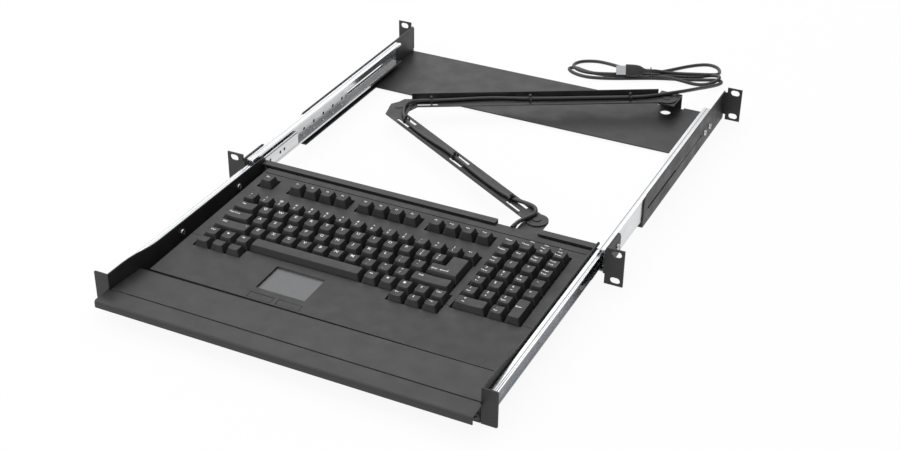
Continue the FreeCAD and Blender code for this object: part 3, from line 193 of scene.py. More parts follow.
def makeSurround(look):
    world = bpy.data.worlds.new("studioWorld")
    bpy.context.scene.world = world
    world.use_nodes = True
    tree = world.node_tree
    tree.nodes.clear()
    way = addNode(tree, "ShaderNodeTexCoord").outputs["Generated"]
    light = mapRange(tree, dot(tree, way, look["brightSide"]), look["slope"], look["surround"])
    rays = addNode(tree, "ShaderNodeLightPath").outputs
    gloss = calc(tree, "MULTIPLY_ADD", rays["Is Glossy Ray"], look["gloss"] - 1, 1.0)
    soft = addNode(tree, "ShaderNodeBackground", plainWhite, calc(tree, "MULTIPLY", light, gloss))
    white = addNode(tree, "ShaderNodeBackground", plainWhite, 1.0)
    pick = addNode(tree, "ShaderNodeMixShader", rays["Is Camera Ray"], soft.outputs[0], white.outputs[0])
    addNode(tree, "ShaderNodeOutputWorld", Surface=pick.outputs[0])


def makeFloor(look):
    half, level = look["floorSize"] / 2, look["floorLevel"]
    mesh = bpy.data.meshes.new("studioFloor")
    corners = [(x * half, y * half, level) for x, y in ((-1, -1), (1, -1), (1, 1), (-1, 1))]
    mesh.from_pydata(corners, [], [(0, 1, 2, 3)])
    floor = addObject("studioFloor", mesh)
    paper = bpy.data.materials.new("floorPaper")
    paper.use_nodes = True
    tree = paper.node_tree
    shader = tree.nodes["Principled BSDF"]
    for label, value in look["floorPaper"].items():
        shader.inputs[label].default_value = value
    rays = addNode(tree, "ShaderNodeLightPath").outputs
    sharp = calc(tree, "MAXIMUM", rays["Is Glossy Ray"], rays["Is Transmission Ray"])
    seen = calc(tree, "MAXIMUM", rays["Is Camera Ray"], sharp)
    share = calc(tree, "MULTIPLY", seen, look["floorWhite"])
    glow = addNode(tree, "ShaderNodeEmission", plainWhite, 1.0)
    pick = addNode(tree, "ShaderNodeMixShader", share, shader.outputs[0], glow.outputs[0])
    tree.links.new(pick.outputs[0], tree.nodes["Material Output"].inputs["Surface"])
    mesh.materials.append(paper)
    floor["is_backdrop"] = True


def makeLamps(look):
    for name, lamp in look["lamps"].items():
        light = bpy.data.lights.new(name, "AREA")
        light.shape = "DISK"
        light.size = lamp["size"]
        light.energy = lamp["watts"]
        item = addObject(name, light)
        item.location = lamp["place"]
        way = Vector(lamp["aim"]) - Vector(lamp["place"])
        item.rotation_mode = "QUATERNION"
        item.rotation_quaternion = way.to_track_quat("-Z", "Y")


makeSurround(studio)
makeFloor(studio)
makeLamps(studio)
bpy.context.scene.view_settings.view_transform = "Standard"
print("studio: camera, floor and", len(studio["lamps"]), "lamps")

# Finishes: each has colour variation, a grain bump and a varied roughness; paint and plastic also get a painted
# highlight along their edges
finishColumns = ("slot", "dark", "light", "grain", "cloud", "rough", "bump", "height", "specular", "edge")
# The edge column is how strongly the painted edge highlight shows on that finish
finishes = {
    "powderCoat": ("powder_coat", (0.0145, 0.0145, 0.0155), (0.026, 0.026, 0.0275), 1500, 45,
                   (0.40, 0.56), 0.30, 0.00009, 0.46, 0.35),
    "moulding": ("black_plastic", (0.0145, 0.0145, 0.0155), (0.026, 0.026, 0.0275), 2300, 60,
                 (0.46, 0.62), 0.32, 0.00006, 0.46, 0.25),
    "keyCap": ("key_plastic", (0.012, 0.012, 0.0125), (0.022, 0.022, 0.023), 2600, 90,
               (0.40, 0.54), 0.25, 0.00005, 0.42, 0.30),
    "padFilm": ("pad_film", (0.094, 0.096, 0.099), (0.134, 0.136, 0.139), 3200, 110,
                (0.32, 0.44), 0.15, 0.00003, 0.45, 0.10),
    "jacket": ("cable_jacket", (0.012, 0.012, 0.013), (0.026, 0.026, 0.028), 900, 35,
               (0.30, 0.44), 0.18, 0.00006, 0.50, 0.0),
    "tieNylon": ("black_plastic", (0.010, 0.010, 0.011), (0.022, 0.022, 0.024), 1800, 80,
                 (0.34, 0.46), 0.15, 0.00004, 0.50, 0.2),
    "plugGrip": ("cable_jacket", (0.016, 0.016, 0.017), (0.030, 0.030, 0.032), 2400, 90,
                 (0.42, 0.56), 0.22, 0.00005, 0.50, 0.2),
    "legendInk": ("key_plastic", (0.80, 0.80, 0.80), (0.93, 0.93, 0.92), 2600, 420,
                  (0.45, 0.60), 0.10, 0.00002, 0.40, 0.0),
    "innerMoulding": ("inner_plastic", (0.030, 0.030, 0.032), (0.050, 0.050, 0.053), 1600, 70,
                      (0.50, 0.66), 0.20, 0.00005, 0.45, 0.1),
    "circuitResin": ("board", (0.010, 0.055, 0.022), (0.018, 0.085, 0.035), 1400, 160,
                     (0.35, 0.50), 0.15, 0.00004, 0.50, 0.1),
    "lampLens": ("lens", (0.055, 0.070, 0.055), (0.095, 0.115, 0.095), 2600, 300,
                 (0.14, 0.26), 0.05, 0.00002, 0.55, 0.1),
}
metalColumns = ("slot", "dark", "light", "streak", "rough", "bump", "height")
metals = {
    "zincSteel": ("zinc_steel", (0.58, 0.59, 0.60), (0.74, 0.75, 0.76), (260, 2.5, 260),
                  (0.18, 0.28), 0.04, 0.00003),
    "cageSteel": ("zinc_steel", (0.46, 0.47, 0.48), (0.70, 0.71, 0.72), (1500, 30, 1500),
                  (0.26, 0.42), 0.14, 0.00004),
    "brightScrew": ("bright_screw", (0.42, 0.42, 0.43), (0.64, 0.64, 0.65), (2400, 2400, 2400),
                    (0.16, 0.32), 0.12, 0.00003),
    "plugMetal": ("plug_metal", (0.52, 0.53, 0.54), (0.72, 0.73, 0.74), (1800, 1800, 60),
                  (0.18, 0.30), 0.08, 0.00002),
}
noise = {"roughness": 0.55, "span": (0.3, 0.7),  # the span is where most of its values lie
         "grainDetail": 2.0, "cloudDetail": 4.0, "streakDetail": 3.0}
mottle = {"grain": 0.45, "cloud": 0.55, "streaks": 0.6, "metalCloud": 0.4, "metalScale": 40}
# Painted edge highlight: how far the edge mask reaches, how it fades, and how much paler the edges are painted
paintedEdgeLight = {"radius": 0.0005, "samples": 6, "likeness": (0.98, 0.80), "paler": 2.6}


def mixColours(tree, factor, dark, light):
    blend = addNode(tree, "ShaderNodeMix", data_type="RGBA")
    for index, value in ((0, factor), (6, dark), (7, light)):
        feed(tree, blend.inputs[index], value)
    return blend.outputs[2]


def noiseOf(tree, coords, scale, detail):
    return addNode(tree, "ShaderNodeTexNoise", Vector=coords, Scale=scale, Detail=detail,
                   Roughness=noise["roughness"]).outputs["Fac"]


def spread(tree, pattern, low, high):
    return mapRange(tree, pattern, noise["span"], (low, high))


# A colour between dark and light, by the sum of two patterns
def mottled(tree, look, *patterns):
    parts = [spread(tree, pattern, 0, mottle[share]) for pattern, share in patterns]
    return mixColours(tree, calc(tree, "ADD", *parts), (*look["dark"], 1), (*look["light"], 1))


# Mask of the rounded edges, where the painted highlight is laid
def edgeHighlightMask(tree):
    bevel = addNode(tree, "ShaderNodeBevel", samples=paintedEdgeLight["samples"], Radius=paintedEdgeLight["radius"])
    facing = addNode(tree, "ShaderNodeNewGeometry")
    return mapRange(tree, dot(tree, bevel.outputs[0], facing.outputs["Normal"]), paintedEdgeLight["likeness"], (0, 1))


def startFinish(name):
    made = bpy.data.materials.new(name)
    made.use_nodes = True
    tree = made.node_tree
    coords = addNode(tree, "ShaderNodeTexCoord").outputs["Object"]
    return made, tree, tree.nodes["Principled BSDF"].inputs, coords


def endFinish(tree, inputs, look, colour, roughness, relief):
    bump = addNode(tree, "ShaderNodeBump", Strength=look["bump"], Distance=look["height"], Height=relief)
    feed(tree, inputs["Base Color"], colour)
    feed(tree, inputs["Roughness"], spread(tree, roughness, *look["rough"]))
    feed(tree, inputs["Normal"], bump.outputs[0])


def grainedFinish(name, look):
    made, tree, inputs, coords = startFinish(name)
    grain = noiseOf(tree, coords, look["grain"], noise["grainDetail"])
    cloud = noiseOf(tree, coords, look["cloud"], noise["cloudDetail"])
    colour = mottled(tree, look, (grain, "grain"), (cloud, "cloud"))
    if look["edge"] > 0:  # painted highlight: paint and plastic are painted paler along their edges, standing in for the light that rounded edges catch
        edgeHighlight = calc(tree, "MULTIPLY", edgeHighlightMask(tree), spread(tree, cloud, 0, look["edge"]))
        paler = [min(1, paintedEdgeLight["paler"] * c) for c in look["light"]]
        colour = mixColours(tree, edgeHighlight, colour, (*paler, 1))
    inputs["Specular IOR Level"].default_value = look["specular"]
    endFinish(tree, inputs, look, colour, cloud, grain)
    return made


def drawnMetal(name, look):
    made, tree, inputs, coords = startFinish(name)
    stretched = addNode(tree, "ShaderNodeMapping", Vector=coords, Scale=look["streak"])
    streaks = noiseOf(tree, stretched.outputs[0], 1.0, noise["streakDetail"])
    cloud = noiseOf(tree, coords, mottle["metalScale"], noise["cloudDetail"])
    colour = mottled(tree, look, (streaks, "streaks"), (cloud, "metalCloud"))
    inputs["Metallic"].default_value = 1.0
    endFinish(tree, inputs, look, colour, streaks, streaks)
    return made


finish = {name: grainedFinish(name, dict(zip(finishColumns, row))) for name, row in finishes.items()}
finish.update({name: drawnMetal(name, dict(zip(metalColumns, row))) for name, row in metals.items()})
slotOf = {name: row[0] for name, row in (*finishes.items(), *metals.items())}
bodyOf = {node: body for body, members in frame["record"]["behaviour"]["bodies"].items() for node in members}
print("finishes:", len(finish))


# Pieces: common ways of making them
def newPiece(name, mesh, finishName):
    if not mesh.materials:
        mesh.materials.append(finish[finishName])
    piece = addObject(name, mesh)
    slotOf[finishName]
    return piece


# Puts a piece on the body of a CAD node, in that node's stead
def standIn(piece, node):
    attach(piece, bodyOf[node])
    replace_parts(piece, node)


def plainMesh(bm, name):
    mesh = bpy.data.meshes.new(name)
    bm.to_mesh(mesh)
    bm.free()
    return mesh


def meshFrom(bm, name, sharpAngle):
    bmesh.ops.recalc_face_normals(bm, faces=bm.faces)
    mesh = plainMesh(bm, name)
    mesh.shade_smooth()
    mesh.set_sharp_from_angle(angle=math.radians(sharpAngle))
    return mesh


def pieceOf(bm, name, finishName, sharpAngle=40):
    return newPiece(name, meshFrom(bm, name, sharpAngle), finishName)


rounding = {"sharp": 32, "flat": 0.5, "same": 1e-6, "cornerSteps": 4, "normalWeight": 90}
edgeWidth = {"slide": 0.0002, "lever": 0.0003, "bezel": 0.0006, "base": 0.0004, "pad": 0.0003, "button": 0.0006,
             "lamp": 0.0003, "rivet": 0.0003, "returnKey": 0.0009}


def evenNormals(piece):
    weighted = piece.modifiers.new("evenNormals", "WEIGHTED_NORMAL")
    weighted.weight = rounding["normalWeight"]
    weighted.keep_sharp = True


def finalMesh(item):
    deps = bpy.context.evaluated_depsgraph_get()
    return bpy.data.meshes.new_from_object(item.evaluated_get(deps))


# Joins rings of points into a skin; a closed one runs from the last ring back to the first
def skin(bm, rings, closed=False):
    loops = [[bm.verts.new(point) for point in ring] for ring in rings]
    pairs = list(zip(loops, loops[1:]))
    if closed:
        pairs.append((loops[-1], loops[0]))
    for first, second in pairs:
        count = len(first)
        for k in range(count):
            bm.faces.new((first[k], first[(k + 1) % count], second[(k + 1) % count], second[k]))
    return loops


# A skin that is closed at both ends
def addSolid(bm, rings):
    loops = skin(bm, rings)
    bm.faces.new(loops[0][::-1])
    bm.faces.new(loops[-1])


def addFace(bm, corners):
    bm.faces.new([bm.verts.new(corner) for corner in corners])


def fillHoles(bm):
    bmesh.ops.triangle_fill(bm, use_beauty=True, edges=[edge for edge in bm.edges if edge.is_boundary])


def placed(bm, matrix):
    bmesh.ops.transform(bm, matrix=matrix, verts=bm.verts)


# Points and faces of a curve, which is then removed
def readCurve(curve):
    bare = bpy.data.objects.new(curve.name, curve)
    mesh = bpy.data.meshes.new_from_object(bare)
    points = [tuple(vertex.co) for vertex in mesh.vertices]
    faces = [tuple(polygon.vertices) for polygon in mesh.polygons]
    bpy.data.objects.remove(bare)
    bpy.data.meshes.remove(mesh)
    bpy.data.curves.remove(curve)
    return points, faces


# Cuts a shape with a tool or joins them, both bmeshes, and returns what is left
def carve(bm, toolShape, operation="DIFFERENCE"):
    blank = addObject("carveBlank", plainMesh(bm, "carveBlank"))
    tool = addObject("carveTool", plainMesh(toolShape, "carveTool"))
    press = blank.modifiers.new("carve", "BOOLEAN")
    press.object = tool
    press.operation = operation
    press.solver = "EXACT"
    mesh = finalMesh(blank)
    bpy.data.objects.remove(blank)
    bpy.data.objects.remove(tool)
    left = bmesh.new()
    left.from_mesh(mesh)
    bpy.data.meshes.remove(mesh)
    return left


# A CAD node with its sharp edges rounded, in its own place; shapes may be added to it or cut away before
def rounded(node, width, finishName, segments=2, tool=None, added=None, corners=None, reshape=None, moved=None):
    bm = bmesh.new()
    bm.from_mesh(cadNodes[node].data)
    bmesh.ops.remove_doubles(bm, verts=bm.verts, dist=rounding["same"])
    if reshape:
        placed(bm, reshape)
    if moved:
        right, behind = moved["beyond"]
        chosen = [v for v in bm.verts if v.co.x > right * mm and v.co.y > behind * mm]
        bmesh.ops.translate(bm, vec=Vector(moved["by"]) * mm, verts=chosen)
    if added:
        bm = carve(bm, added, "UNION")
    if tool:
        bm = carve(bm, tool)
    flat, limit = math.radians(rounding["flat"]), math.radians(rounding["sharp"])
    bmesh.ops.dissolve_limit(bm, angle_limit=flat, verts=bm.verts, edges=bm.edges)
    if corners:
        chosen = [e for e in bm.edges if corners["test"](e)]
        bmesh.ops.bevel(bm, geom=chosen, offset=corners["radius"], segments=rounding["cornerSteps"],
                        profile=0.5, affect="EDGES")
    sharp = [e for e in bm.edges if e.is_manifold and e.calc_face_angle(0) > limit]
    bmesh.ops.bevel(bm, geom=sharp, offset=width, segments=segments, profile=0.5, affect="EDGES",
                    clamp_overlap=True, miter_outer="SHARP", miter_inner="SHARP")
    piece = pieceOf(bm, node + "_dressed", finishName)
    evenNormals(piece)
    standIn(piece, node)


def coat(node, finishName):
    mesh = cadNodes[node].data
    mesh.materials.clear()
    mesh.materials.append(finish[finishName])


# Geometry Nodes: one part on each point, turned and sized by the points' own attributes
def partOnPointsTree():
    tree = bpy.data.node_groups.new("partOnPoints", "GeometryNodeTree")
    inputs = {}
    for label, kind in (("Geometry", "Geometry"), ("Part", "Object"), ("Finish", "Material")):
        made = tree.interface.new_socket(label, in_out="INPUT", socket_type="NodeSocket" + kind)
        inputs[label] = made.identifier
    tree.interface.new_socket("Geometry", in_out="OUTPUT", socket_type="NodeSocketGeometry")
    start = addNode(tree, "NodeGroupInput").outputs
    source = addNode(tree, "GeometryNodeObjectInfo", start["Part"], transform_space="ORIGINAL")
    turn, stretch = (addNode(tree, "GeometryNodeInputNamedAttribute", data_type="FLOAT_VECTOR",
                             Name=label).outputs["Attribute"] for label in ("turn", "stretch"))
    asTurn = addNode(tree, "FunctionNodeEulerToRotation", turn)
    laid = addNode(tree, "GeometryNodeInstanceOnPoints", Points=start["Geometry"],
                   Instance=source.outputs["Geometry"], Rotation=asTurn.outputs[0], Scale=stretch)
    solid = addNode(tree, "GeometryNodeRealizeInstances", laid.outputs[0])
    coated = addNode(tree, "GeometryNodeSetMaterial", Geometry=solid.outputs[0], Material=start["Finish"])
    addNode(tree, "NodeGroupOutput", coated.outputs[0])
    return tree, inputs


pointTree, pointInputs = partOnPointsTree()


# Puts a part on points given as (place, turn, stretch), and returns the plain mesh
def partsOnPoints(name, partMesh, points, finishName):
    source = addObject(name + "_part", partMesh)
    dots = bpy.data.meshes.new(name + "_points")
    dots.from_pydata([place for place, turn, stretch in points], [], [])
    for attribute, index in (("turn", 1), ("stretch", 2)):
        values = dots.attributes.new(attribute, "FLOAT_VECTOR", "POINT")
        for item, point in zip(values.data, points):
            item.vector = point[index]
    carrier = addObject(name + "_carrier", dots)
    modifier = carrier.modifiers.new("partOnPoints", "NODES")
    modifier.node_group = pointTree
    modifier[pointInputs["Part"]] = source
    modifier[pointInputs["Finish"]] = finish[finishName]
    mesh = finalMesh(carrier)
    mesh.name = name
    carrier.modifiers.clear()
    bpy.data.objects.remove(carrier)
    bpy.data.objects.remove(source)
    return mesh


# Cable: one smooth line from the keyboard along the arm to the plug
cable = {
    "diameter": 0.0046,
    "sides": 12,
    "start": (107.5, 26.06, 4.59),
    "overlap": 0.005,  # length of the tail that is hidden, and narrower, inside the piece before it
    "narrow": 0.9,
    "order": 3,
    "resolution": 10,
}
pivots = {"tray": (122.9, 49.5), "elbow": (-137.4, 224.8), "fixed": (151.5, 402.0)}
overFront, overRear, lying = 4.9, 3.4, -19.5
elbowOffset = 13.0
trayCorners = ((-15.4, -16.0), (-5.0, 4.5), (-6.9, 15.4), (-14.9, 23.1))
frontCorners = ((51, 0.9), (80, 3), (118, 3), (148, 1), (180, 0.4), (208, 3.2), (240, 5), (262, 3), (276, 0))
elbowCorners = ((15.8, -19.5, 4.9), (7.4, -0.5, 4.9), (7.4, 12.2, 4.9), (14.2, 23.6, 3.7))
rearCorners = ((290, 0.4), (268, 1.6), (242, 4.2), (216, 4.8), (188, 1.9), (160, 0.6), (128, 0.2), (94, 0.4),
               (64, 0), (46, 0.2), (32, 0.8), (18, 3.2))
tailCorners = ((-2.25, 8.14, 1), (5.9, 16.1, 1), (16.3, 34.3, 0.87), (22.9, 57.9, 0.61), (29.8, 81.7, 0.33),
               (35.6, 103.9, 0.09), (38.9, 118.0, 0.01), (32.3, 124.8, 0.0))
hank = {"middle": (88.5, 513.0), "turn": 23.3, "low": -19.5, "high": -14.9}
# Turns of the hank along and across it; the last value is the height as a share from low to high
hankTurns = (
    (70, -27, 0), (40, -27, 0), (12, -25, 0), (-20, -27.5, 0), (-47, -29.8, 0), (-68, -29.6, 0), (-84, -27, 0),
    (-97, -19, 0), (-105, -8, 0), (-105, 0, 0), (-96, -1, 0.3), (-87, -13, 0.6), (-74, -20, 0.5), (-48, -22, 0),
    (-22, -22.5, 0), (0, -22, 0), (20, -27.5, 0.9), (40, -35, 0.6), (60, -42, 0), (76, -42.5, 0.2),
    (90, -35, 0.8), (94, -26, 1.2), (84, -20, 0.9), (66, -22, 0.4), (42, -22, 0.4), (18, -20, 0.5),
    (0, -18, 0.4), (-24, -19.5, 0.5), (-50, -25, 0.9), (-76, -25, 1), (-92, -18, 1), (-100, -5, 0.9),
    (-98, 10, 0.3), (-88, 22, 0), (-70, 24, 0), (-55, 19, 0), (-38, 8, 0), (-18, -6, 0), (2, -16.5, 0.4),
    (14, -9, 0.2), (34, 3, 0), (54, 14, 0), (72, 21, 0), (86, 22, 0), (96, 13, 0), (97, -2, 0), (92, -14, 0.5),
    (82, -21.5, 1.2), (64, -20, 1.1), (42, -19, 1), (22, -18, 1.2), (9, -21, 1.9), (0, -26, 2.35),
    (-8, -27, 2.42),
)


def alongLink(root, hand, along, aside, level):
    span = Vector(pivots["elbow"]) - Vector(pivots[root])
    turn = math.atan2(span.y, span.x) + hand * math.asin(elbowOffset / span.length)
    step = Vector((math.cos(turn), math.sin(turn)))
    flange = Vector((-step.y, step.x)) * hand
    spot = Vector(pivots[root]) + step * along + flange * aside
    return (spot.x, spot.y, level)


def onHank(x, y, z):
    turn = math.radians(hank["turn"])
    return (hank["middle"][0] + x * math.cos(turn) - y * math.sin(turn),
            hank["middle"][1] + x * math.sin(turn) + y * math.cos(turn), z)


def cableRoute():
    spots = [cable["start"]]
    spots += [(pivots["tray"][0] + x, pivots["tray"][1] + y, overFront) for x, y in trayCorners]
    spots += [alongLink("tray", 1, x, y, overFront) for x, y in frontCorners]
    spots += [(pivots["elbow"][0] + x, pivots["elbow"][1] + y, z) for x, y, z in elbowCorners]
    spots += [alongLink("fixed", -1, x, y, overRear) for x, y in rearCorners]
    spots += [(pivots["fixed"][0] + x, pivots["fixed"][1] + y, lying + share * (overRear - lying))
              for x, y, share in tailCorners]
    rise = hank["high"] - hank["low"]
    spots += [onHank(x, y, hank["low"] + share * rise) for x, y, share in hankTurns]
    return [Vector(spot) * mm for spot in spots]


# Reads the points of a smooth line through the route's corners
def smoothLine(corners, resolution):
    curve = bpy.data.curves.new("cableLine", "CURVE")
    curve.dimensions = "3D"
    spline = curve.splines.new("NURBS")
    spline.points.add(len(corners) - 1)
    for point, corner in zip(spline.points, corners):
        point.co = (*corner, 1)
    spline.order_u = cable["order"]
    spline.use_endpoint_u = True
    spline.resolution_u = resolution
    return [Vector(point) for point in readCurve(curve)[0]]


# A round tube along a line; its first few rings are narrower where they hide in another piece
def tube(line, radius, sides, narrowRings):
    rings = []
    side = None
    for index, here in enumerate(line):
        before, after = line[max(index - 1, 0)], line[min(index + 1, len(line) - 1)]
        way = (after - before).normalized()
        if side is None:
            side = way.cross(Vector((0, 0, 1))).normalized()
        side = (side - way * side.dot(way)).normalized()
        lift = way.cross(side)
        size = radius * (cable["narrow"] if index < narrowRings else 1.0)
        rings.append([here + (side * math.cos(a) + lift * math.sin(a)) * size
                      for a in (2 * math.pi * k / sides for k in range(sides))])
    bm = bmesh.new()
    addSolid(bm, rings)
    return bm


def nearestIndex(line, spot):
    return min(range(len(line)), key=lambda index: (line[index] - spot).length)


def lineLength(line):
    return sum((b - a).length for a, b in zip(line, line[1:]))


cableCorners = cableRoute()
cableLine = smoothLine(cableCorners, cable["resolution"])
spans = (len(trayCorners), len(frontCorners) - 1, len(elbowCorners) + 1, len(rearCorners))
cutAfter = [sum(spans[:count]) for count in range(1, len(spans) + 1)]
cuts = [0] + [nearestIndex(cableLine, (cableCorners[i] + cableCorners[i + 1]) / 2) for i in cutAfter]
cuts.append(len(cableLine) - 1)
cablePieces = {}
cordNames = ("cord_keyboard", "cord_front_link", "cord_elbow", "cord_rear_link", "cord_tail")
for name, first, last in zip(cordNames, cuts, cuts[1:]):
    lead = 0
    while name == "cord_tail" and lineLength(cableLine[first - lead:first + 1]) < cable["overlap"]:
        lead += 1
    path = cableLine[first - lead:last + 1]
    shape = tube(path, cable["diameter"] / 2, cable["sides"], lead)
    cablePieces[name] = (pieceOf(shape, name + "_tube", "jacket", 60), path)
blends = {"cord_keyboard": ("shelf", "front_arm"), "cord_elbow": ("front_arm", "rear_arm")}
for name, (piece, path) in cablePieces.items():
    if name in blends:
        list(blends[name])
        path[0]
        path[-1]
        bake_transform(piece)
    else:
        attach(piece, bodyOf[name])
    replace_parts(piece, name)
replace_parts(cablePieces["cord_tail"][0], "cord_hank")
print("cable:", round(lineLength(cableLine), 3), "m, of which the tail and hank",
      round(lineLength(cablePieces["cord_tail"][1]), 3), "m")

# Sheet metal with its cut edges rounded
sheetMetal = {
    "front_bracket_left": 0.0003, "front_bracket_right": 0.0003, "rear_bracket": 0.0003, "tray": 0.0004,
    "palm_apron": 0.0006, "pull_handle": 0.0005, "front_link": 0.0003, "rear_link": 0.0003,
}
trayEar = {"front": -0.2685, "beside": 0.2205, "straight": 0.9, "radius": 0.0018}


# Short edges through the sheet at the outer corners of the tray's front ears
def earCorner(edge):
    a, b = (vertex.co for vertex in edge.verts)
    through = abs(a.y - b.y) > trayEar["straight"] * (a - b).length
    return through and max(a.y, b.y) < trayEar["front"] and abs(a.x) > trayEar["beside"]


# Lips that stand up behind the slides: the sheet's two x, the sides they are on and their outline as (y, z)
frontLip = ((1.0, 10.0), (46.0, 10.0), (44.6, 14.4), (40.5, 17.4), (1.0, 17.4))
rearLip = ((122.5, 10.0), (423.0, 10.0), (423.0, 17.4), (131.0, 17.4), (126.0, 14.6))
armLips = {"rear_bracket": {"sheet": (218.7, 220.2), "hands": (-1, 1), "outline": rearLip}}
for name, hand in hands.items():
    armLips["front_bracket_" + name] = {"sheet": (218.7, 220.7), "hands": (hand,), "outline": frontLip}


def lipShape(look):
    bm = bmesh.new()
    for hand in look["hands"]:
        addSolid(bm, [[(hand * x * mm, y * mm, z * mm) for y, z in look["outline"]] for x in look["sheet"]])
    bmesh.ops.recalc_face_normals(bm, faces=bm.faces)
    return bm


# Small moves of the points to the right of an x and behind a y: the apron meets the keyboard at its right end,
# the handle lies a little below the apron, and the touch pad below its deck
everywhere = (-1000, -1000)
fitted = {
    "palm_apron": {"beyond": (0, -221.5), "by": (0, 0.9, 1.2)},
    "pull_handle": {"beyond": everywhere, "by": (0, -0.3, -0.5)},
    "touch_pad": {"beyond": everywhere, "by": (0, 0, -1.2)},
}
for node, width in sheetMetal.items():
    rounded(node, width, "powderCoat", added=lipShape(armLips[node]) if node in armLips else None,
            corners={"test": earCorner, "radius": trayEar["radius"]} if node == "tray" else None,
            moved=fitted.get(node))

# Slides: the raceways of the balls show as pressed grooves on the flanges
raceways = {
    "slide_inner": ((213.2, 12.55, 2.2), (213.2, -7.55, 2.2)),
    "slide_outer": ((214.2, 17.2, 1.5), (214.2, -12.2, 1.5)),
}
bend = {"web": 206.0, "top": 10.95, "bottom": -5.95, "radius": 2.4, "steps": 6, "spare": 0.4, "overrun": 0.01,
        "rodSides": 28}


# Rods along y that press grooves into a node; each groove is (x, z, radius)
def grooveRods(node, grooves):
    low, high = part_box(node)
    rods = bmesh.new()
    for x, z, radius in grooves:
        place = Matrix.Translation((x * mm, (low.y + high.y) / 2, z * mm)) @ Matrix.Rotation(quarter, 4, "X")
        bmesh.ops.create_cone(rods, cap_ends=True, segments=bend["rodSides"], radius1=radius * mm,
                              radius2=radius * mm, depth=high.y - low.y + 2 * bend["overrun"], matrix=place)
    return rods


# What the rounding of the inner slide's two bends takes away beside the tray's wall
def addBends(bm, node, hand, look):
    low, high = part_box(node)
    radius, spare = look["radius"], look["spare"]
    for edge, way in ((look["top"], 1), (look["bottom"], -1)):
        middle = (look["web"] + radius, edge - way * radius)
        turns = [quarter * k / look["steps"] for k in range(look["steps"] + 1)]
        outline = [(middle[0] - radius * math.cos(a), middle[1] + way * radius * math.sin(a)) for a in turns]
        outline += [(middle[0], edge + way * spare), (look["web"] - spare, edge + way * spare),
                    (look["web"] - spare, middle[1])]
        addSolid(bm, [[(hand * x * mm, y, z * mm) for x, z in outline]
                      for y in (low.y - look["overrun"], high.y + look["overrun"])])
    bmesh.ops.recalc_face_normals(bm, faces=bm.faces)


for member, grooves in raceways.items():
    for name, hand in hands.items():
        node = member + "_" + name
        tools = grooveRods(node, [(hand * x, z, r) for x, z, r in grooves])
        if member == "slide_inner":
            addBends(tools, node, hand, bend)
        rounded(node, edgeWidth["slide"], "zincSteel", tool=tools)
for name in hands:
    rounded("release_lever_" + name, edgeWidth["lever"], "zincSteel")
    coat("ball_cage_" + name, "cageSteel")
print("sheet metal:", len(sheetMetal), "painted pieces and two slides")

# Keyboard housing: a seam before the palm rest, and lips that narrow the wells where the keys stand back
deck = {
    "tilt": 1.3, "rise": 7.0, "sheet": 2.5,
    "seam": (-194, 202, -143.8, -143.2, 0.6),
    "cutback": (102.0, 104.8, -70.9, -51.2, 3.5),
    "lips": ((-185.6, -180.7, -127.6, -50.4), (-181.2, -121.2, -167.4, -162.2),
             (48.0, 107.6, -167.4, -162.2)),
}
deckTurn = math.radians(deck["tilt"])
deckPlace = Matrix.Translation((0, 0, deck["rise"] * mm)) @ Matrix.Rotation(deckTurn, 4, "X")


def deckBox(bm, left, right, front, rear, low, high):
    made = bmesh.ops.create_cube(bm, size=1.0)["verts"]
    size = Matrix.Diagonal((right - left, rear - front, high - low, 1))
    middle = Matrix.Translation(((left + right) / 2, (front + rear) / 2, (low + high) / 2))
    bmesh.ops.transform(bm, matrix=deckPlace @ Matrix.Scale(mm, 4) @ middle @ size, verts=made)


blades, lips = bmesh.new(), bmesh.new()
for left, right, front, rear, depth in (deck["seam"], deck["cutback"]):
    deckBox(blades, left, right, front, rear, -depth, depth)
for left, right, front, rear in deck["lips"]:
    deckBox(lips, left, right, front, rear, -deck["sheet"], 0)
rounded("keyboard_bezel", edgeWidth["bezel"], "moulding", tool=blades, added=lips)
rounded("keyboard_base", edgeWidth["base"], "innerMoulding")
rounded("touch_pad", edgeWidth["pad"], "padFilm", moved=fitted["touch_pad"])
for side in hands:
    rounded("pad_button_" + side, edgeWidth["button"], "moulding", segments=3)
for node, finishName in (("key_guide_plate", "innerMoulding"), ("membrane_sheet", "innerMoulding"),
                         ("controller_board", "circuitResin")):
    coat(node, finishName)
rounded("status_leds", edgeWidth["lamp"], "lampLens")
for node in ("tray_rivet", "elbow_rivet", "fixed_rivet"):
    rounded(node, edgeWidth["rivet"], "powderCoat")


def turnedRings(profile, sides):
    angles = [2 * math.pi * k / sides for k in range(sides)]
    return [[Vector((r * math.cos(a), r * math.sin(a), z)) for a in angles] for r, z in profile]


# An outline after a number of quarter turns
def turned(outline, quarters):
    for step in range(quarters):
        outline = [(-y, x) for x, y in outline]
    return outline


# Outline of a box with round corners, anticlockwise; along adds points to the front and rear edges
def roundBox(left, right, front, rear, corner, steps, along=0):
    outline = []
    bends = ((left + corner, front + corner, 180), (right - corner, front + corner, 270),
             (right - corner, rear - corner, 0), (left + corner, rear - corner, 90))
    for index, (x, y, start) in enumerate(bends):
        for k in range(steps + 1):
            angle = math.radians(start + 90 * k / steps)
            outline.append((x + corner * math.cos(angle), y + corner * math.sin(angle)))
        if index in (0, 2):
            goal = bends[index + 1][0]
            for k in range(1, along + 1):
                outline.append((x + (goal - x) * k / (along + 1), outline[-1][1]))
    return outline


# Screws with a cross recess, one mesh on Geometry Nodes points for each group
screw = {"head": 3.7, "handleHead": 4.5, "height": 2.2, "shank": 2.0, "reach": 2.2, "arm": 2.2, "armWidth": 0.6,
         "recess": 1.4, "taper": 0.75, "sides": 24,
         "dome": ((1, 0.4), (0.94, 0.72), (0.80, 0.93), (0.64, 1))}


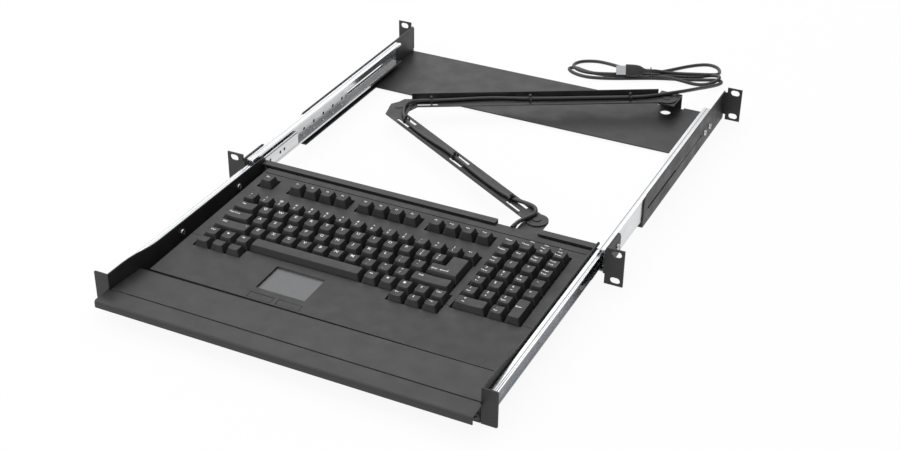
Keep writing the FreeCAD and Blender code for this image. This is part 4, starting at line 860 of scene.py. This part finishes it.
def crossScrewMesh(look):
    bm = bmesh.new()
    r, h, arm, w = look["head"], look["height"], look["arm"], look["armWidth"]
    profile = ((look["shank"], -look["reach"]), (look["shank"], 0), (r, 0),
               *((x * r, z * h) for x, z in look["dome"]))
    loops = skin(bm, turnedRings(profile, look["sides"]))
    bm.faces.new(loops[0][::-1])
    cross = [point for k in range(4) for point in turned(((arm, -w), (arm, w), (w, w)), k)]
    well = skin(bm, [[(share * x, share * y, z) for x, y in cross]
                     for share, z in ((1, h), (look["taper"], h - look["recess"]))])
    bm.faces.new(well[1])
    fillHoles(bm)
    placed(bm, Matrix.Scale(mm, 4))
    return meshFrom(bm, "crossScrew", 35)


facing = {"right": (0, quarter, 0), "left": (0, -quarter, 0), "front": (quarter, 0, 0)}
railSeats = ((220.7, 14, 2.5), (220.7, 37, 2.5), (220.2, 343, -4), (220.2, 362, -4))
screwGroups = {
    "wall_screws": ("tray_screws", "brightScrew", 1.0,
                    [((hand * 204.8, y, 2.5), way) for hand, way in ((-1, "right"), (1, "left"))
                     for y in (-145, -35)]),
    "handle_screws": ("tray_screws", "powderCoat", screw["handleHead"] / screw["head"],
                      [((x, -271, -10.9), "front") for x in (-199.6, 199.6)]),
    "rail_screws": ("bracket_screws", "brightScrew", 1.0,
                    [((hand * x, y, z), way) for hand, way in ((-1, "left"), (1, "right"))
                     for x, y, z in railSeats]),
}
screwMesh = crossScrewMesh(screw)
for name, (node, finishName, wide, seats) in screwGroups.items():
    spots = [(Vector(place) * mm, facing[way], (wide, wide, 1)) for place, way in seats]
    mesh = partsOnPoints(name, screwMesh, spots, finishName)
    standIn(newPiece(name, mesh, finishName), node)
print("screws:", sum(len(group[3]) for group in screwGroups.values()))

# Cable ties: a strap round the link and the cable, with a round knob on top
tie = {"left": -3.7, "right": 3.7, "low": -0.2, "high": 6.1, "thick": 1.0, "corner": 1.6, "near": -1.3,
       "far": 1.3, "knob": 2.3, "sunk": 0.2}


def addStrap(bm, look):
    left, right, low, high, thick, corner, near, far = (
        look[key] for key in ("left", "right", "low", "high", "thick", "corner", "near", "far"))
    outer = roundBox(left - thick, right + thick, low - thick, high + thick, corner + thick, 3)
    inner = roundBox(left, right, low, high, corner, 3)
    sides = ((near, outer), (far, outer), (far, inner), (near, inner))
    skin(bm, [[(x, *p) for p in outline] for x, outline in sides], closed=True)


def tieMesh(look):
    bm = bmesh.new()
    addStrap(bm, look)
    top = Matrix.Translation((0, 0, look["high"] + look["knob"] - look["sunk"]))
    bmesh.ops.create_icosphere(bm, subdivisions=2, radius=look["knob"], matrix=top)
    placed(bm, Matrix.Scale(mm, 4))
    return meshFrom(bm, "cableTie", 35)


tiedLinks = {"front_link_ties": ("tray", 1, 1.3, (48.45, 164.675, 274.525)),
             "rear_link_ties": ("fixed", -1, -0.2, (46.65, 173.425, 297.65))}
for node, (root, hand, floor, spans) in tiedLinks.items():
    ends = [Vector(alongLink(root, hand, along, 0, floor)) for along in (0, 100)]
    turn = math.atan2(ends[1].y - ends[0].y, ends[1].x - ends[0].x)
    spots = [(Vector(alongLink(root, hand, along, 0, floor)) * mm, (0, 0, turn), (1, 1, 1)) for along in spans]
    mesh = partsOnPoints(node + "_straps", tieMesh(tie), spots, "tieNylon")
    standIn(newPiece(node + "_straps", mesh, "tieNylon"), node)

# Ribbed sleeve where the cable leaves the keyboard
sleeve = {"place": (107.5, 18.5, -3.0), "sides": 20,
          "profile": ((2.9, 0), (2.9, 1.2), (2.5, 1.3), (2.5, 1.9), (2.85, 2.0), (2.8, 3.2), (2.45, 3.3),
                      (2.45, 3.9), (2.75, 4.0), (2.7, 5.2), (2.4, 5.3), (2.4, 5.9), (2.65, 6.0), (2.55, 7.5))}
bm = bmesh.new()
addSolid(bm, turnedRings(sleeve["profile"], sleeve["sides"]))
placed(bm, deckPlace @ Matrix.Scale(mm, 4) @ Matrix.Translation(sleeve["place"])
       @ Matrix.Rotation(-quarter, 4, "X"))
standIn(pieceOf(bm, "cable_sleeve", "jacket", 35), "strain_relief")

# Plug lying on the hank, and the tie that holds the turns
plug = {
    "middle": (0, -27, -8.4), "lean": 29.0,
    "shell": {"columns": (-44, -39, -36.8, -31), "rows": (-6, -3.8, -1.6, 1.6, 3.8, 6), "half": 2.25,
              "holes": ((1, 1), (1, 3)), "holeDepth": 1.4, "wall": 0.4, "mouth": 4.4, "mouthCorner": 0.3,
              "same": 1e-4},
    "grip": ((-31.6, 3.8, 7.4, 1.4), (-31.2, 4.25, 8.0, 1.6), (-22, 4.3, 7.8, 1.8), (-17, 4.25, 7.4, 2.0),
             (-12.5, 4.0, 6.4, 2.6), (-9.5, 3.7, 4.9, 3.0), (-7.5, 3.3, 3.6, 3.0), (-5.5, 3.0, 3.0, 2.9),
             (-4.4, 2.7, 2.7, 2.6), (-3.6, 2.9, 2.9, 2.8), (-2.4, 2.6, 2.6, 2.5), (-1.4, 2.8, 2.8, 2.7),
             (0.4, 2.5, 2.5, 2.4)),
}
hankPlace = Matrix.Translation(onHank(0, 0, 0)) @ Matrix.Rotation(math.radians(hank["turn"]), 4, "Z")
plugPlace = (Matrix.Scale(mm, 4) @ hankPlace @ Matrix.Translation(plug["middle"])
             @ Matrix.Rotation(-math.radians(plug["lean"]), 4, "X"))


def plugShell(look):
    bm = bmesh.new()
    columns, rows, half = look["columns"], look["rows"], look["half"]
    for y in (-half, half):
        floor = y - math.copysign(look["holeDepth"], y)
        for i in range(len(columns) - 1):
            for j in range(len(rows) - 1):
                corners = [(columns[i], rows[j]), (columns[i + 1], rows[j]), (columns[i + 1], rows[j + 1]),
                           (columns[i], rows[j + 1])]
                if (i, j) in look["holes"]:
                    well = skin(bm, [[(x, y, z) for x, z in corners], [(x, floor, z) for x, z in corners]])
                    bm.faces.new(well[1])
                else:
                    addFace(bm, [(x, y, z) for x, z in corners])
    for z in (rows[0], rows[-1]):
        for left, right in zip(columns, columns[1:]):
            addFace(bm, ((left, -half, z), (right, -half, z), (right, half, z), (left, half, z)))
    addFace(bm, [(columns[-1], -half, z) for z in rows] + [(columns[-1], half, z) for z in reversed(rows)])
    wall = look["wall"]
    inside = roundBox(-half + wall, half - wall, rows[0] + wall, rows[-1] - wall, look["mouthCorner"], 1)
    mouth = skin(bm, [[(x, *p) for p in inside] for x in (columns[0], columns[0] + look["mouth"])])
    bm.faces.new(mouth[1])
    bmesh.ops.remove_doubles(bm, verts=bm.verts, dist=look["same"])
    fillHoles(bm)
    placed(bm, plugPlace)
    return bm


def plugGrip(stations):
    bm = bmesh.new()
    rings = [[(x, *p) for p in roundBox(-deep, deep, -tall, tall, corner, 3)]
             for x, deep, tall, corner in stations]
    addSolid(bm, rings)
    placed(bm, plugPlace)
    return bm


hankTie = {
    "left": -27.5, "right": -15.5, "low": -20.8, "high": -14.4, "thick": 0.9, "corner": 2.2,
    "near": 1.8, "far": 4.2,
    "tails": (((-16.2, -14.6), (-13.6, -9.2)), ((-26.6, -15.2), (-29.4, -17.4))),
    "tailThick": 0.5, "tailWide": 0.9, "tailTip": 0.7,
}


def hankStrap(look):
    bm = bmesh.new()
    addStrap(bm, look)
    for (y0, z0), (y1, z1) in look["tails"]:  # the short free ends of the tie
        along = Vector((0, y1 - y0, z1 - z0)).normalized()
        across = Vector((0, -along.z, along.y)) * look["tailThick"]
        stations = ((y0, z0, 1.0), ((y0 + y1) / 2, (z0 + z1) / 2, 1.0), (y1, z1, look["tailTip"]))
        rings = []
        for y, z, share in stations:
            middle = Vector(((look["near"] + look["far"]) / 2, y, z))
            wide = Vector((look["tailWide"] * share, 0, 0))
            rings.append([middle + a * wide + b * across for a, b in ((-1, -1), (1, -1), (1, 1), (-1, 1))])
        addSolid(bm, rings)
    placed(bm, Matrix.Scale(mm, 4) @ hankPlace)
    return bm


plugPieces = []
for name, bm, angle, finishName, node in (
        ("plug_case", plugShell(plug["shell"]), 30, "plugMetal", "plug_shell"),
        ("plug_grip", plugGrip(plug["grip"]), 40, "plugGrip", "plug_body"),
        ("hank_strap", hankStrap(hankTie), 35, "tieNylon", "hank_tie")):
    plugPieces.append(pieceOf(bm, name, finishName, angle))
    standIn(plugPieces[-1], node)

for name, (piece, line) in cablePieces.items():
    last = name == "cord_tail"
    line[0]
    lineLength(line)
    cable["diameter"]
print("plug, ties and", len(cablePieces), "cable pieces declared")

# Key caps: tapered, dished across, with legends on top; units are key pitches
keyPad = {
    "pitch": 19.05, "gap": 1.9, "skirt": 1.5, "sideTaper": 2.7, "frontTaper": 2.9, "rearTaper": 2.0,
    "dish": 0.9, "edgeRound": 0.6, "baseCorner": 1.5, "topCorner": 1.8, "cornerInset": 0.5, "cornerSteps": 2,
    "dishSteps": 5,
    "heights": {"tall": 8.4, "high": 7.7, "mid": 7.1, "low": 6.5}, "lastRowDepth": 15.8,
    "returnHeight": 9.6, "flat": ("space_bar", "keypad_enter_key"),
    "mainLeft": -183.4, "keypadLeft": 112.4, "functionRow": -20.5, "numberRow": -61.0, "keypadRow": -22.3,
    "lowerShift": 0.2,
}
legend = {
    "letter": 5.4, "symbol": 4.2, "word": 3.1, "smallWord": 2.6, "longWord": 10, "wideKey": 1.5, "sign": 0.36,
    "thick": 0.05, "bold": 0.06, "lift": 0.03, "curveSteps": 2,
    "aside": -1.6, "inset": 7.4, "oneLine": (2.2,), "twoLines": (3.4, -2.2),
    "extra": (("return_key", "Enter", 3.2, (73.5, -100.4), "mid"),
              ("return_key", "goBack", 13, (83.6, -99.9), "mid"),
              ("left_shift_key", "dot", 3.4, (-142.5, -115.4), "low")),
}


def capMesh(name, width, depth, height, dish):
    look = keyPad
    half, deep = (width - look["gap"]) / 2, (depth - look["gap"]) / 2
    shoulder = height - look["edgeRound"]
    stations = [(-look["skirt"], 0)]
    for angle in (0, quarter / 2, quarter):
        stations.append((shoulder + look["edgeRound"] * math.sin(angle),
                         look["edgeRound"] * (1 - math.cos(angle))))
    topHalf = half - look["sideTaper"]
    rings = []
    for z, inset in stations:
        share = (min(z, shoulder) + look["skirt"]) / (height + look["skirt"])
        side = half - look["sideTaper"] * share - inset
        front = -deep + look["frontTaper"] * share + inset
        rear = deep - look["rearTaper"] * share - inset
        corner = look["baseCorner"] + (look["topCorner"] - look["baseCorner"]) * share
        corner -= look["cornerInset"] * inset
        drop = dish if z >= shoulder else 0
        outline = roundBox(-side, side, front, rear, corner, look["cornerSteps"], look["dishSteps"])
        rings.append([(x, y, z - drop * (1 - min(1, (x / topHalf) ** 2))) for x, y in outline])
    bm = bmesh.new()
    loops = skin(bm, rings)
    bm.faces.new(loops[0][::-1])
    top, steps, along = loops[-1], look["cornerSteps"], look["dishSteps"]
    frontRight, rearRight = steps + along + 1, 2 * steps + along + 2
    rearLeft = 3 * steps + 2 * along + 3
    frontEdge = top[steps:frontRight + 1]
    rearEdge = top[rearRight + steps:rearLeft + 1][::-1]
    for k in range(along + 1):
        bm.faces.new((frontEdge[k], frontEdge[k + 1], rearEdge[k + 1], rearEdge[k]))
    bm.faces.new(top[rearLeft:] + top[:steps + 1])
    bm.faces.new(top[frontRight:rearRight + steps + 1])
    placed(bm, Matrix.Scale(mm, 4))
    return meshFrom(bm, name, 60)


# Each row: node, block, row, height name, and its keys as (first unit, width, legend lines)
def runOf(first, texts):
    return [(first + k, 1, tuple(text.split())) for k, text in enumerate(texts)]


numberTexts = "~ `,! 1,@ 2,# 3,$ 4,% 5,^ 6,& 7,* 8,( 9,) 0,_ -,+ =,| \\".split(",")
keypadTexts = (
    ("tall", "Insert", "Home", "Page Up", "Print Screen"),
    ("tall", "Delete", "End", "Page Down", "Scroll Lock"),
    ("tall", "Num Lock", "/", "*", "Pause Break"), ("high", "7 Home", "8 goUp", "9 PgUp", "-"),
    ("mid", "4 goLeft", "5", "6 goRight", "+"), ("low", "1 End", "2 goDown", "3 PgDn"),
)
keyRows = (
    ("escape_key", "function", 0, "tall", runOf(0, ["Esc"])),
    ("function_keys", "function", 0, "tall",
     [key for first, low in ((2, 1), (6.5, 5), (11, 9))
      for key in runOf(first, ["F%d" % (low + k) for k in range(4)])]),
    ("number_keys", "main", 0, "tall", runOf(0.17, numberTexts)),
    ("backspace_key", "main", 0, "tall", [(14.17, 0.94, ("goLeft",))]),
    ("tab_key", "main", 1, "high", [(0.16, 1.59, ("Tab",))]),
    ("upper_letter_keys", "main", 1, "high", runOf(1.75, [*"QWERTYUIOP", "{ [", "} ]"])),
    ("caps_key", "main", 2, "mid", [(0.16, 1.84, ("Caps Lock",))]),
    ("home_letter_keys", "main", 2, "mid", runOf(2, [*"ASDFGHJKL", ": ;", "\" '"])),
    ("left_shift_key", "main", 3, "low", [(0.16, 2.34, ("Shift",))]),
    ("lower_letter_keys", "main", 3, "low", runOf(2.5, [*"ZXCVBNM", "< ,", "> .", "? /"])),
    ("right_shift_key", "main", 3, "low", [(12.5, 2.5, ("Shift",))]),
    ("modifier_keys", "lower", 4, "low",
     runOf(0, ["Ctrl", "diamond", "Alt"]) + runOf(10, ["Alt", "diamond", "menuBlock", "goUp", "Ctrl"])),
    ("modifier_keys", "lower", 5, "low", runOf(0, [""] * 3)),
    ("space_bar", "lower", 4, "low", [(3, 7, ())]),
    ("arrow_keys", "lower", 5, "low", runOf(12, ["goLeft", "goDown", "goRight"])),
    *(("keypad_keys", "keypad", row, texts[0], runOf(0, texts[1:])) for row, texts in enumerate(keypadTexts)),
    ("keypad_keys", "keypad", 6, "low", [(2, 1, (".", "Del"))]),
    ("keypad_zero_key", "keypad", 6, "low", [(0, 2, ("0", "Ins"))]),
    ("keypad_enter_key", "keypad", 5.5, "low", [(3, 1, ("Enter",))]),
)
arrow = ((-1, 0), (-0.3, -0.6), (-0.3, -0.14), (1, -0.14), (1, 0.14), (-0.3, 0.14), (-0.3, 0.6))
signs = {
    "goLeft": arrow,
    "goDown": turned(arrow, 1),
    "goRight": turned(arrow, 2),
    "goUp": turned(arrow, 3),
    "goBack": ((-1, -0.1), (-0.6, -0.34), (-0.6, -0.18), (1, -0.18), (1, 0.4), (0.84, 0.4), (0.84, -0.02),
               (-0.6, -0.02), (-0.6, 0.14)),
    "dot": [(0.5 * math.cos(k * math.pi / 4), 0.5 * math.sin(k * math.pi / 4)) for k in range(8)],
    "diamond": ((0, -0.8), (0.8, 0), (0, 0.8), (-0.8, 0)),
    "menuBlock": ((-0.6, -0.8), (0.6, -0.8), (0.6, 0.8), (-0.6, 0.8)),
}


def keyMiddle(block, row, first, width):
    look = keyPad
    left = {"keypad": look["keypadLeft"], "lower": look["mainLeft"] + look["lowerShift"] * look["pitch"]}
    rear = {"keypad": look["keypadRow"], "function": look["functionRow"]}
    return (left.get(block, look["mainLeft"]) + (first + width / 2) * look["pitch"],
            rear.get(block, look["numberRow"]) - row * look["pitch"])


glyphs = {}


# Points and faces of one word or sign, centred, in millimetres
def glyphOf(text, size):
    if (text, size) not in glyphs:
        if text in signs:
            half = legend["thick"] / 2
            share = legend["sign"]
            outline = [(share * size * x, share * size * y) for x, y in signs[text]]
            count = len(outline)
            points = [(x, y, z) for z in (-half, half) for x, y in outline]
            faces = [tuple(range(count))[::-1], tuple(range(count, 2 * count))]
            faces += [(k, (k + 1) % count, count + (k + 1) % count, count + k) for k in range(count)]
        else:
            curve = bpy.data.curves.new("legendText", "FONT")
            curve.body = text
            curve.size = size
            curve.extrude = legend["thick"] / 2
            curve.offset = legend["bold"]
            curve.resolution_u = legend["curveSteps"]
            curve.align_x = "CENTER"
            curve.align_y = "CENTER"
            points, faces = readCurve(curve)
        glyphs[(text, size)] = (points, faces)
    return glyphs[(text, size)]


# Height of one line of a legend, by its length and the number of lines
def legendSize(text, lines):
    if text in signs or len(text) == 1:
        return legend["letter"] if len(lines) == 1 else legend["symbol"]
    return legend["word"] if len(lines) == 1 and len(text) < legend["longWord"] else legend["smallWord"]


# Lays one word or sign at a spot of the deck, on a top that is dished about its middle
def addMark(bm, text, size, spot, height, dish=0, middle=0, topHalf=1):
    points, faces = glyphOf(text, size)
    made = []
    for x, y, z in points:
        along = spot[0] + x
        level = height - dish * (1 - min(1, ((along - middle) / topHalf) ** 2)) + z
        made.append(bm.verts.new(deckPlace @ (Vector((along, spot[1] + y, level)) * mm)))
    for face in faces:
        bm.faces.new([made[k] for k in face])


# Lays the lines of a legend on a key top
def addLegend(bm, middle, width, height, dish, lines):
    topHalf = (width - keyPad["gap"]) / 2 - keyPad["sideTaper"]
    wide = width >= legend["wideKey"] * keyPad["pitch"]
    aside = legend["inset"] - topHalf if wide else legend["aside"]
    rear = (keyPad["frontTaper"] - keyPad["rearTaper"]) / 2
    levels = legend["oneLine"] if len(lines) == 1 else legend["twoLines"]
    for text, level in zip(lines, levels):
        spot = (middle[0] + aside, middle[1] + rear + level)
        addMark(bm, text, legendSize(text, lines), spot, height + legend["lift"], dish, middle[0], topHalf)


capPoints, legendMeshes = defaultdict(lambda: defaultdict(list)), defaultdict(bmesh.new)
pitch = keyPad["pitch"]
for node, block, row, heightName, keys in keyRows:
    height = keyPad["heights"][heightName]
    dish = 0 if node in keyPad["flat"] else keyPad["dish"]
    depth = 2 * pitch if node == "keypad_enter_key" else pitch
    for first, units, lines in keys:
        middle = keyMiddle(block, row, first, units)
        if (block, row) == ("lower", 5):  # the front row of the main field is not as deep as the others
            depth = keyPad["lastRowDepth"]
            middle = (middle[0], middle[1] + (pitch - depth) / 2)
        shape = (units * pitch, depth, height, dish)
        spot = deckPlace @ Vector((middle[0] * mm, middle[1] * mm, 0))
        capPoints[node][shape].append((spot, (deckTurn, 0, 0), (1, 1, 1)))
        if lines:
            addLegend(legendMeshes[node], middle, units * pitch, height, dish, lines)
for node, sign, size, spot, heightName in legend["extra"]:
    height = keyPad["heights"][heightName] + legend["lift"]
    addMark(legendMeshes[node], sign, size, spot, height)
lampLabels = {"texts": ("Num", "Caps", "Scr"), "x": (140.0, 156.0, 172.0), "v": -1.9, "size": 2.5}
bm = bmesh.new()
for text, x in zip(lampLabels["texts"], lampLabels["x"]):
    addMark(bm, text, lampLabels["size"], (x, lampLabels["v"]), legend["lift"])
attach(pieceOf(bm, "lamp_labels", "legendInk", 30), "shelf")
for node, shapes in capPoints.items():
    bm = bmesh.new()
    for shape, spots in shapes.items():
        part = partsOnPoints(node + "_cap", capMesh(node + "_cap", *shape), spots, "keyCap")
        bm.from_mesh(part)
        bpy.data.meshes.remove(part)
    piece = pieceOf(bm, node + "_caps", "keyCap", 60)
    evenNormals(piece)
    standIn(piece, node)
lower = Matrix.Diagonal((1, 1, keyPad["heights"]["mid"] / keyPad["returnHeight"], 1))
rounded("return_key", edgeWidth["returnKey"], "keyCap", segments=3,
        reshape=deckPlace @ lower @ deckPlace.inverted())
for node, bm in legendMeshes.items():
    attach(pieceOf(bm, node + "_legends", "legendInk", 30), bodyOf[node])
print("keys:", sum(len(spots) for shapes in capPoints.values() for spots in shapes.values()) + 1)

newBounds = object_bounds()
print("sizes:", [round(v, 4) for v in newBounds[1] - newBounds[0]])
